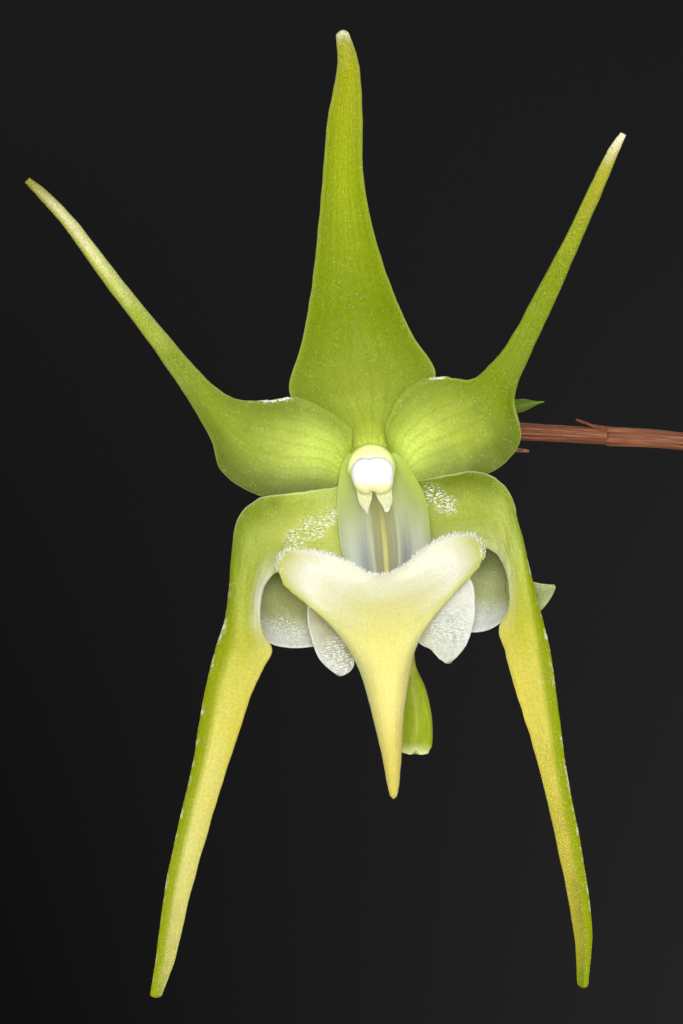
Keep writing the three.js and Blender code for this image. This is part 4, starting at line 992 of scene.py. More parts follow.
class ORCHID_OT_pot(bpy.types.Operator):
    """Turned clay pot with a rolled rim and three drain holes"""
    bl_idname = "orchid.pot"
    bl_label = "Clay Pot"

    def execute(self, context):
        settings = context.scene.orchid_pot
        rim_foot = POT_HEIGHT - RIM_HEIGHT
        body_top = POT_TOP_RADIUS - RIM_STEP
        inside_top = POT_TOP_RADIUS - RIM_STEP - POT_WALL
        inside_foot = POT_FOOT_RADIUS - POT_WALL
        profile = [
            (0, 0.8), (26, 0.8), (29, 0), (POT_FOOT_RADIUS - RIM_EDGE, 0), (POT_FOOT_RADIUS - 0.3, 0.4),
            (POT_FOOT_RADIUS, RIM_EDGE), (body_top - RIM_EDGE, rim_foot),
            (POT_TOP_RADIUS - RIM_EDGE - 0.6, rim_foot), (POT_TOP_RADIUS - 0.7, rim_foot + 0.3),
            (POT_TOP_RADIUS - 0.4, rim_foot + RIM_EDGE), (POT_TOP_RADIUS, POT_HEIGHT - RIM_EDGE - 1),
            (POT_TOP_RADIUS - 0.35, POT_HEIGHT - 0.4), (POT_TOP_RADIUS - RIM_EDGE - 0.2, POT_HEIGHT),
            (inside_top + RIM_EDGE + 0.4, POT_HEIGHT), (inside_top + 0.4, POT_HEIGHT - 0.4),
            (inside_top, POT_HEIGHT - RIM_EDGE - 0.6), (inside_foot + 2, POT_WALL + 1.2),
            (inside_foot, POT_WALL), (0, POT_WALL),
        ]
        mesh = turned_mesh(profile, 128)
        # Thrown by hand: the wall wavers by a fifth of a millimetre
        for vert in mesh.verts:
            reach = Vector((vert.co.x, vert.co.y, 0))
            if reach.length > 0.03:
                waver = noise.noise(vert.co * 45) * 0.2 - 0.2
                vert.co += reach.normalized() * waver * MM
        holes = bmesh.new()
        for k in range(DRAIN_HOLES):
            turn = math.tau * k / DRAIN_HOLES
            where = Matrix.Translation(Vector((math.cos(turn), math.sin(turn), 0)) * DRAIN_CIRCLE * MM)
            bmesh.ops.create_cone(holes, cap_ends=True, segments=32, radius1=DRAIN_RADIUS * MM,
                                  radius2=DRAIN_RADIUS * MM, depth=3 * POT_WALL * MM, matrix=where)
        cutter_data = bpy.data.meshes.new("drain")
        holes.to_mesh(cutter_data)
        holes.free()
        cutter = bpy.data.objects.new("drain", cutter_data)
        context.scene.collection.objects.link(cutter)
        clay = terracotta("fired_red_clay", settings.clay, "#96492a", "#e6d9c8", settings.bloom)
        pot = finish_piece("clay_pot", mesh, clay, "clay", "pot", subdivide=0)
        cut = pot.modifiers.new("Drain", "BOOLEAN")
        cut.object = cutter
        cut.solver = "EXACT"
        drained = bpy.data.meshes.new_from_object(pot.evaluated_get(context.evaluated_depsgraph_get()))
        pot.modifiers.remove(cut)
        pot.data = drained
        drained.name = "clay_pot"
        bpy.data.objects.remove(cutter)
        return {"FINISHED"}


def chip_mesh(size, matrix, seed):
    """One chip of bark: a block with worn edges, its faces split into uneven layers"""
    mesh = bmesh.new()
    bmesh.ops.create_cube(mesh, size=1.0)
    for vert in mesh.verts:
        vert.co = Vector((vert.co.x * size[0], vert.co.y * size[1], (vert.co.z - 0.5) * size[2]))
    bmesh.ops.bevel(mesh, geom=mesh.edges[:], offset=min(size) * 0.13, affect="EDGES", segments=1,
                    profile=0.5, material=-1)
    bmesh.ops.subdivide_edges(mesh, edges=mesh.edges[:], cuts=3, use_grid_fill=True)
    drift = Vector((seed * 13.7, seed * 5.1, seed * 9.3))
    for vert in mesh.verts:
        away = vert.co.normalized()
        worn = noise.noise(vert.co * 0.22 + drift) + noise.noise(vert.co * 0.7 + drift) * 0.45
        vert.co += away * (worn - 0.45)
        vert.co = matrix @ vert.co * MM
    return mesh


class ORCHID_OT_bark(bpy.types.Operator):
    """Chips of pine bark that fill the pot"""
    bl_idname = "orchid.bark"
    bl_label = "Bark Chips"

    def execute(self, context):
        settings = context.scene.orchid_pot
        wall = POT_TOP_RADIUS - RIM_STEP - POT_WALL
        foot = POT_FOOT_RADIUS - POT_WALL
        inside = foot + (wall - foot) * (BARK_TOP - POT_WALL) / (POT_HEIGHT - POT_WALL)
        mesh = bmesh.new()
        roll = dice(CHIP_SEED)

        def strewn(ring, turn, lean_x, lean_y, rise):
            """Where one chip lies on the bed, tumbled at random"""
            tilt = Matrix.Rotation(roll(-lean_x, lean_x), 4, "X")
            tilt = Matrix.Rotation(roll(-lean_y, lean_y), 4, "Y") @ tilt
            tilt = Matrix.Rotation(roll(0, math.pi), 4, "Z") @ tilt
            place = Vector((ring * math.cos(turn), ring * math.sin(turn), BARK_TOP + roll(*rise)))
            return Matrix.Translation(place) @ tilt

        for i in range(CHIP_COUNT):
            size = (roll(*CHIP_LENGTH), roll(*CHIP_WIDTH), CHIP_THICKNESS)
            reach = inside - CHIP_GAP - math.hypot(size[0], size[1]) / 2
            ring = reach * math.sqrt((i + 0.5) / CHIP_COUNT)
            join(mesh, chip_mesh(size, strewn(ring, i * GOLDEN_TURN, *CHIP_LEAN, CHIP_RISE), i))
        for i in range(settings.small_chips):
            size = [roll(*limits) for limits in SMALL_CHIP_SIZE]
            ring = (inside - 5.5) * math.sqrt((i + 0.5) / settings.small_chips)
            place = strewn(ring, i * GOLDEN_TURN + 1.3, *SMALL_CHIP_LEAN, SMALL_CHIP_RISE)
            join(mesh, chip_mesh(size, place, i + 60))
        wood = rough_bark("pine_bark_chips", settings.bark, "#2c1a12", "#a5663a")
        finish_piece("bark_chips", mesh, wood, "bark", "bark", subdivide=0)
        # The bed under the chips, down to the drain holes
        profile = [(0, POT_WALL + 0.4), (foot - 0.5, POT_WALL + 0.4), (inside - 0.5, BARK_TOP - 0.6),
                   (inside - 6, BARK_TOP), (0, BARK_TOP)]
        bed = turned_mesh(profile, 72, cuts=9)
        for vert in bed.verts:
            reach = math.hypot(vert.co.x, vert.co.y)
            if vert.co.z > (BARK_TOP - 0.7) * MM and reach < (inside - 2) * MM:
                vert.co.z += (noise.noise(vert.co * 260) * 1.6 - 0.6) * MM
        crumbs = rough_bark("pine_bark_crumbs", "#4a2d1d", "#22140d", "#7d4c2b")
        finish_piece("bark_bed", bed, crumbs, "bark", "bark", subdivide=0)
        return {"FINISHED"}


class ORCHID_OT_roots(bpy.types.Operator):
    """Air roots that run from the crown into the bark, and one that hangs over the rim"""
    bl_idname = "orchid.roots"
    bl_label = "Air Roots"

    def execute(self, context):
        silver = context.scene.orchid_plant.root
        mesh = bmesh.new()
        for heading, reach, arch, radius in ROOTS:
            turn = math.radians(heading)
            bend = math.radians(heading + ROOT_BEND)
            stations = [(0.08, turn, -6), (0.3, turn, 0.5 * arch), (0.6, turn, arch),
                        (0.85, bend, 0.45 * arch), (1, bend, -0.4 * ROOT_BURIED), (1.02, bend, -ROOT_BURIED)]
            line = [(reach * share * math.cos(angle), reach * share * math.sin(angle), BARK_TOP + height)
                    for share, angle, height in stations]
            join(mesh, self.root_mesh(line, radius, heading))
        skin = velamen("silver_root_skin", silver, "#8c9182", "#7f8f5c")
        finish_piece("air_roots", mesh, skin, "stem", "stem")
        hanging = self.root_mesh(HANGING_ROOT, HANGING_ROOT_RADIUS, 5, tip=True)
        live = velamen("root_with_growing_tip", silver, "#8c9182", "#7f8f5c", tip="#7d9a3f")
        finish_piece("hanging_root", hanging, live, "stem", "stem")
        return {"FINISHED"}

    def root_mesh(self, line, radius, seed, tip=False):
        """One root: its girth wanders, and a growing tip is rounded off"""
        taper = [radius * (1 - 0.12 * k / (len(line) - 1)) for k in range(len(line))]

        def girth(share, turn):
            wander = 1 + 0.05 * noise.noise(Vector((share * 14, seed, 0)))
            blunt = math.sqrt(max(0.02, 1 - step(share, 0.965, 1.0) ** 2)) if tip else 1.0
            return wander * blunt

        return stalk_mesh(line, taper, rows=70, sides=18, shape=girth)


# Short stem, leaves and flower stem


def leaf_heading(side, turn):
    """Directions out along a leaf and across it"""
    heading = math.radians(FAN_TURN + (180 if side < 0 else 0) + turn)
    outward = Vector((math.cos(heading), math.sin(heading), 0))
    return outward, Vector((-outward.y, outward.x, 0))


class ORCHID_OT_stem(bpy.types.Operator):
    """Short stem wrapped in overlapping leaf sheaths, with the youngest leaf still folded at its top"""
    bl_idname = "orchid.stem"
    bl_label = "Stem and Sheaths"

    def execute(self, context):
        green = context.scene.orchid_plant.sheath
        fan = math.radians(FAN_TURN)
        across = Vector((math.cos(fan), math.sin(fan), 0))
        line = [(0, 0, STEM_BOTTOM + (STEM_TOP - STEM_BOTTOM) * k / 8) for k in range(9)]

        def fold(share, turn):
            """The folded young leaf has a sharp keel on one side and a slit on the other"""
            slit = 0.16 * hill(turn, math.pi * 0.5, 0.2) * step(share, 0.45, 0.6)
            return 1 + 0.012 * math.sin(turn * 14) - slit

        mesh = stalk_mesh(line, STEM_WIDE, STEM_THIN, rows=90, sides=48, shape=fold, side=across)
        flesh = green_flesh("young_leaf_and_stem", green, "#4d6e2b", Roughness=0.45)
        finish_piece("short_stem", mesh, flesh, "stem", "stem")
        # Each leaf stands on its own sheath, which clasps the stem below it
        sheaths = leather_leaf("leaf_sheath", green, "#54742f", "#a9ae6a")
        for number, (side, height, _, width, rise, _, turn) in enumerate(LEAVES):
            outward, sideways = leaf_heading(side, turn)
            rows = []
            for k in range(5):
                level = -SHEATH_BURIED + (height + SHEATH_ABOVE + SHEATH_BURIED) * k / 4
                share = min(1.0, max(0.0, (BARK_TOP + level - STEM_BOTTOM) / (STEM_TOP - STEM_BOTTOM)))
                wide = through(STEM_WIDE, share) + 0.75 - 0.05 * number
                thin = through(STEM_THIN, share) + 0.95 - 0.05 * number
                middle = Vector((0, 0, BARK_TOP + level))
                rows.append([
                    middle + outward * (-0.25 * wide) + sideways * (k_side * thin * 1.06) if k_side
                    else middle + outward * (wide + 0.3)
                    for k_side in (-1, 0, 1)
                ])
            blade = Blade(rows, at=Vector(), faces=outward)

            def swell(u, v):
                """Rounds the clasp out from a parabola towards an ellipse"""
                return 3.3 * (1 - u * u) * u * u, 0.0, 0.0

            clasp = blade_mesh(blade, 24, 22, relief=swell, thin=0.6)
            finish_piece(f"leaf_sheath_{number + 1}", clasp, sheaths, "stem", "stem", wall=0.7)
        return {"FINISHED"}


class ORCHID_OT_leaves(bpy.types.Operator):
    """Fan of six leathery strap leaves"""
    bl_idname = "orchid.leaves"
    bl_label = "Leaves"

    def execute(self, context):
        settings = context.scene.orchid_plant
        leather = leather_leaf("leathery_leaf", settings.leaf, "#27491a", "#86a34a")
        for number, leaf in enumerate(LEAVES):
            blade = Blade(self.leaf_rows(*leaf), crease=0.45, at=Vector(), faces=(0, 0, 1))

            def relief(u, v):
                """Sunk midrib, margins that wave a little and a broad gentle cockle"""
                groove = -0.45 * hill(u, 0, 0.06) * (1 - 0.6 * v)
                wave = noise.noise(Vector((v * 9, u * 0.8, number * 3.1)))
                wave *= 0.9 * abs(u) ** 2 * step(v, 0.1, 0.4)
                return groove + wave, 0.0, 0.0

            mesh = blade_mesh(blade, 110, 20, relief=relief, thin=0.6)
            finish_piece(f"strap_leaf_{number + 1}", mesh, leather, "leaf", f"leaf_{number + 1}",
                         wall=settings.leaf_wall / MM)
        return {"FINISHED"}

    def leaf_rows(self, side, height, length, width, rise, droop, turn):
        """Rows of margin, midrib and margin along one leaf"""
        outward, sideways = leaf_heading(side, turn)
        up = Vector((0, 0, 1))
        middle = outward * 4 + up * (BARK_TOP + height - 4)
        rows = []
        fine = 120
        for i in range(fine + 1):
            share = i / fine
            if share >= LEAF_OUTLINE[len(rows)][0] - 1e-6:
                _, wide, fold = LEAF_OUTLINE[len(rows)]
                slope = math.radians(rise - droop * share ** 1.5)
                ahead = outward * math.cos(slope) + up * math.sin(slope)
                over = ahead.cross(sideways)
                open_angle = math.radians(fold)
                notch = LEAF_NOTCH if len(rows) == len(LEAF_OUTLINE) - 1 else (0, 0)
                rows.append([
                    middle + sideways * (k * wide * width * math.cos(open_angle) / 2)
                    + over * (abs(k) * wide * width * math.sin(open_angle) / 2)
                    + ahead * (notch[0] if k < 0 else k * notch[1])
                    for k in (-1, 0, 1)
                ])
                if len(rows) == len(LEAF_OUTLINE):
                    break
            slope = math.radians(rise - droop * (share + 0.5 / fine) ** 1.5)
            ahead = outward * math.cos(slope) + up * math.sin(slope)
            middle = middle + ahead * (length * LEAF_TRIM / fine)
        return rows


class ORCHID_OT_flower_stem(bpy.types.Operator):
    """Wiry arching flower stem in dry sheaths"""
    bl_idname = "orchid.flower_stem"
    bl_label = "Flower Stem"

    def execute(self, context):
        brown = context.scene.orchid_plant.flower_stem
        line = evenly([Vector(p) for p in FLOWER_STEM], STEM_STEPS + 1)
        wood = dry_fibre("dry_wiry_stem", brown, "#46200e", "#b4744a")

        def ridged(share, turn):
            """Shallow ridges and a wandering girth"""
            wander = noise.noise(Vector((share * 40, turn, 0)))
            return 1 + 0.03 * math.sin(turn * 7 + share * 60) + 0.04 * wander

        core = stalk_mesh(line, [FLOWER_STEM_RADIUS - 0.12] * 2, rows=320, sides=20, shape=ridged)
        finish_piece("wiry_stem", core, wood, "flower_stem", "flower_stem")
        paper = dry_fibre("papery_sheath", brown, "#54280f", "#b4744a")
        tubes = bmesh.new()
        for i in range(SHEATHS):
            start = i / SHEATHS
            mouth = min(1.0, start + SHEATH_COVER / SHEATHS)
            reach = [line[round(STEM_STEPS * (start + (mouth - start) * k / 8))] for k in range(9)]

            def wrapped(share, turn):
                """The sheath's free edge laps over it in a long spiral"""
                lap = 0.1 * step((turn / math.tau + share * 0.8 + i * 0.37) % 1.0, 0.0, 0.06)
                return 1 + lap + 0.025 * math.sin(turn * 9)

            girth = [FLOWER_STEM_RADIUS - 0.08 + 0.2 * (k / 8) ** 2 for k in range(9)]
            join(tubes, stalk_mesh(reach, girth, rows=48, sides=24, shape=wrapped))
            if mouth == 1.0:
                continue
            middle = line[round(STEM_STEPS * mouth)]
            ahead = (line[round(STEM_STEPS * mouth)] - line[round(STEM_STEPS * mouth) - 1]).normalized()
            up = Vector((0, 1, 0.02)).cross(ahead).normalized() * (-1 if i % 2 else 1)
            right = ahead.cross(up)
            rows = []
            for out, lift, half in [(-3, 0.9, 1.2), (-0.6, 1.2, 1.1), (1.6, 1.5, 0.7), (3.9, 2.05, 0.1)]:
                spine = middle + ahead * out + up * lift
                sag = up * (half * 0.5)
                rows.append([spine - right * half - sag, spine, spine + right * half - sag])
            blade = Blade(rows, at=Vector(), faces=up)
            tip = blade_mesh(blade, 16, 8, relief=lambda u, v: (0.12 * math.sin(u * 5 + v * 7), 0.0, 0.0))
            grain_from_place(tip)
            bmesh.ops.solidify(tip, geom=tip.faces[:], thickness=0.12 * MM)
            join(tubes, tip)
        finish_piece("stem_sheaths", tubes, paper, "flower_stem", "flower_stem")
        return {"FINISHED"}


# Flower


class ORCHID_OT_dorsal_sepal(bpy.types.Operator):
    """Upper sepal: broad at its foot, drawn out into a long point"""
    bl_idname = "orchid.dorsal_sepal"
    bl_label = "Upper Sepal"

    def execute(self, context):
        settings = context.scene.orchid_flower
        # The pale ends of the ramps are a painted highlight on the tip
        skin = living_tissue(
            "upper_sepal_tissue",
            left={0: "#a6ba34", 0.2: "#84942a", 0.45: "#7c9108", 0.75: "#8a980a", 0.95: "#a0a324",
                  1: "#cdcd9c"},
            middle={0: "#ecfc74", 0.1: "#dcec5c", 0.2: "#a8b83c", 0.28: "#93a226", 0.46: "#7d9000",
                    0.7: "#9aaa00", 0.9: "#a3a600", 0.97: "#b4b750", 1: "#dedec0"},
            right={0: "#a2b832", 0.2: "#8b9e2c", 0.45: "#788c04", 0.75: "#90a008", 0.95: "#9ea024",
                   1: "#cdcd9c"},
            painted_sparkle=settings.painted_glints * 0.8, outline=RIM_LIGHT,
        )

        def relief(u, v):
            """A soft furrow over the midrib, low ribs beside it and an uneven margin"""
            furrow = -0.3 * hill(u, 0, 0.13) * (1 - v)
            ribs = 0.05 * math.cos(u * 16) * (1 - v) * (1 - abs(u))
            edge = 0.1 * noise.noise(Vector((v * 40, u, 1.0))) * step(abs(u), 0.8, 1.0)
            return furrow + ribs, edge, 0.0

        mesh = blade_mesh(Blade(DORSAL_SEPAL), 120, 20, relief=relief)
        finish_piece("upper_sepal", mesh, skin, "tepal", "dorsal_sepal", wall=settings.wall / MM)
        return {"FINISHED"}


class ORCHID_OT_petals(bpy.types.Operator):
    """Two petals: hollow round the column, drawn out into long points"""
    bl_idname = "orchid.petals"
    bl_label = "Petals"

    def execute(self, context):
        settings = context.scene.orchid_flower
        # Each petal is darker along its lower margin, in part painted shade in its hollow. The cream stops
        # down the middle of the left petal's tail and the pale tip of the right petal are painted highlights
        left_skin = {
            "left": {0: "#98a44c", 0.12: "#78833f", 0.25: "#66722f", 0.38: "#667322", 0.5: "#74841c",
                     0.68: "#98a434", 0.85: "#a5a436", 1: "#8a8220"},
            "middle": {0: "#a8bc40", 0.1: "#bccf4c", 0.19: "#c9da5f", 0.27: "#b0be4e", 0.36: "#95a536",
                       0.46: "#869724", 0.57: "#84941e", 0.66: "#a8b43e", 0.76: "#dede94",
                       0.87: "#d6d0a4", 1: "#8a8200"},
            "right": {0: "#b6c64c", 0.14: "#9dae3a", 0.3: "#7f9030", 0.44: "#7a8c24", 0.6: "#8a9832",
                      0.8: "#c4c682", 1: "#8e8628"},
            "torn": (1, 0.29, 0.4),
        }
        right_skin = {
            "left": {0: "#b2c44a", 0.14: "#94a834", 0.3: "#849628", 0.45: "#7c900e", 0.7: "#82920c",
                     0.85: "#a5a92c", 1: "#f0ebc0"},
            "middle": {0: "#a8bc40", 0.08: "#b6ca4a", 0.16: "#d2e462", 0.26: "#aebc44", 0.36: "#8b9c2a",
                       0.48: "#7e9010", 0.7: "#869608", 0.86: "#b2aa30", 1: "#f8f2ce"},
            "right": {0: "#aebb54", 0.12: "#909e44", 0.24: "#7c8a3c", 0.36: "#647220", 0.5: "#728410",
                      0.75: "#869410", 0.9: "#aeac38", 1: "#f0eac2"},
            "torn": (-1, 0.3, 0.36),
        }

        def relief(torn_side, start, end):
            """Ribs that fan out along the petal, and one stretch of margin torn and crumpled"""
            def shape(u, v):
                ribs = 0.06 * math.cos(u * 13 + v * 5) * (1 - v) * (1 - u * u)
                ragged = step(u * torn_side, 0.9, 1.0) * step(v, start - 0.02, start)
                ragged *= 1 - step(v, end, end + 0.02)
                crumple = noise.noise(Vector((v * 260, 0, torn_side))) * 0.8 * ragged
                edge = 0.1 * noise.noise(Vector((v * 40, u, 2.0))) * step(abs(u), 0.8, 1.0)
                return ribs + crumple, edge + crumple * 0.7, 0.0
            return shape

        petals = [
            ("left", PETAL_LEFT, left_skin, (1, 0.28, 0.4)),
            ("right", PETAL_RIGHT, right_skin, (-1, 0.28, 0.37)),
        ]
        for side, rows, ramps, tear in petals:
            skin = living_tissue(f"{side}_petal_tissue", painted_sparkle=settings.painted_glints, outline=RIM_LIGHT, **ramps)
            mesh = blade_mesh(Blade(rows), 150, 20, relief=relief(*tear))
            finish_piece(f"{side}_petal", mesh, skin, "tepal", f"petal_{side}", wall=settings.wall / MM)
        return {"FINISHED"}


class ORCHID_OT_side_sepals(bpy.types.Operator):
    """Two side sepals: a hooded shoulder, a hollow chin and a long hanging point"""
    bl_idname = "orchid.side_sepals"
    bl_label = "Side Sepals"

    def execute(self, context):
        settings = context.scene.orchid_flower
        outer = {0: "#c4ce78", 0.12: "#bcca60", 0.17: "#aab848", 0.23: "#7e9024", 0.28: "#778c12",
                 0.42: "#718506", 0.52: "#828f0a", 0.66: "#8e920a", 0.86: "#94960e", 1: "#7a8800"}
        middle = {0: "#ccd678", 0.12: "#c4ce62", 0.2: "#b6c058", 0.3: "#aebb52", 0.42: "#aeb744",
                  0.52: "#b8b840", 0.6: "#c8c450", 0.7: "#d4cc5a", 0.84: "#d4ce74", 0.94: "#bab45c",
                  1: "#8c921c"}
        inner = {0: "#e2e8a8", 0.14: "#c6ce80", 0.2: "#bec67a", 0.27: "#f8fcd0", 0.37: "#ffffee",
                 0.46: "#e6e69c", 0.54: "#dcd46a", 0.7: "#d4c750", 0.9: "#cac670", 1: "#b4b668"}
        # The right sepal turns its shaded side to the viewer above, painted as darker green shade, and its
        # tail is deeper green outside
        outer_right = {0: "#8c9a3c", 0.12: "#73841c", 0.2: "#66780a", 0.28: "#8a9c30", 0.42: "#7e9010",
                       0.52: "#6c7d00", 0.66: "#7c8200", 0.86: "#7e8400", 1: "#667600"}
        middle_right = {0: "#aeb85c", 0.2: "#adb84c", 0.28: "#bcc65e", 0.36: "#c2cc66", 0.44: "#b6be48",
                        0.52: "#b8b83a", 0.58: "#c2be3e", 0.66: "#cec44e", 0.76: "#cec24e", 0.84: "#beb23e",
                        0.9: "#a0961c", 1: "#6c7a00"}
        inner_right = {0: "#bec878", 0.2: "#c8d084", 0.28: "#d6dc98", 0.36: "#eaeeb8", 0.46: "#dfe08c",
                       0.54: "#d4cc5a", 0.7: "#ddce56", 0.9: "#b4ae3c", 1: "#889000"}
        # Colours of the hollow chins: deep, on the upper edge, is painted shade where the hollow falls dark,
        # and the olive of the deepest line is partly that shade; frosty and bright, on the lower edge, are
        # whitish tissue with painted light on it, bright the more so
        deep = {0: "#7d8850", 0.5: "#66723c", 1: "#7d8850"}
        hollow = {0: "#b4b988", 0.5: "#a8ae72", 1: "#b4b988"}
        frosty = {0: "#e4e7d8", 0.5: "#f6f7f0", 1: "#d2d9ac"}
        bright = {0: "#ffffff", 0.5: "#ffffff", 1: "#f2f6dc"}
        floor = {0: "#c6cba0", 0.5: "#b6bc84", 1: "#a8ae78"}

        def relief(u, v):
            """Low wrinkles over the shoulder and an uneven margin"""
            wrinkle = 0.14 * noise.noise(Vector((u * 5, v * 30, 4.0))) * (1 - step(v, 0.35, 0.5))
            edge = 0.1 * noise.noise(Vector((v * 50, u, 3.0))) * step(abs(u), 0.8, 1.0)
            return wrinkle, edge, 0.0

        # Of each side: outline, ramps and patches of painted glints of the sepal, the same of its chin, and
        # its corner
        sides = [
            ("left", 1, SIDE_SEPAL_LEFT, (inner, middle, outer),
             [((-9.4, 3.6, -8.8), 2.4), ((-7.4, 4, -7.4), 2.8), ((-5.4, 4, -6), 2)],
             CHIN_LEFT, (deep, hollow, frosty), [((-10.2, 10, -21), 4.6), ((-13, 7.5, -19.6), 3)],
             SEPAL_CORNER_LEFT),
            ("right", -1, SIDE_SEPAL_RIGHT, (outer_right, middle_right, inner_right),
             [((7.8, 3.6, -3), 2.2), ((9.4, 3.6, -4.4), 2)],
             CHIN_RIGHT, (bright, floor, deep), [((13.6, 9, -19), 4.6), ((16.4, 6.5, -17.4), 3)],
             SEPAL_CORNER_RIGHT),
        ]
        for side, strip, rows, ramps, glint_patches, chin, chin_ramps, chin_glint_patches, corner in sides:
            node = f"lateral_sepal_{side}"
            skin = living_tissue(f"{side}_side_sepal_tissue", *ramps, painted_sparkle=settings.painted_glints, veins=0.0,
                                 strip=strip, glint_patches=glint_patches)
            chin_skin = living_tissue(f"{side}_chin_tissue", *chin_ramps, painted_sparkle=0.8, veins=0.0,
                                      outline=CHIN_RIM_LIGHT, glint_patches=chin_glint_patches, Roughness=0.35)
            mesh = blade_mesh(Blade(rows), 170, 24, relief=relief)
            finish_piece(f"{side}_side_sepal", mesh, skin, "tepal", node, wall=settings.wall / MM)
            bowl = blade_mesh(Blade(chin), 40, 30, relief=relief)
            finish_piece(f"{side}_sepal_chin", bowl, chin_skin, "tepal", node, wall=0.5)
            flap = blade_mesh(Blade(corner), 20, 10, blunt=0.1)
            clear = living_tissue(
                f"{side}_sepal_corner_tissue",
                left={0: "#a9b27c", 1: "#b8c08c"}, middle={0: "#8d9a5c", 1: "#a4ae74"},
                right={0: "#a9b27c", 1: "#b8c08c"}, painted_sparkle=settings.painted_glints,
            )
            finish_piece(f"{side}_sepal_corner", flap, clear, "tepal", node, wall=0.5)
        return {"FINISHED"}


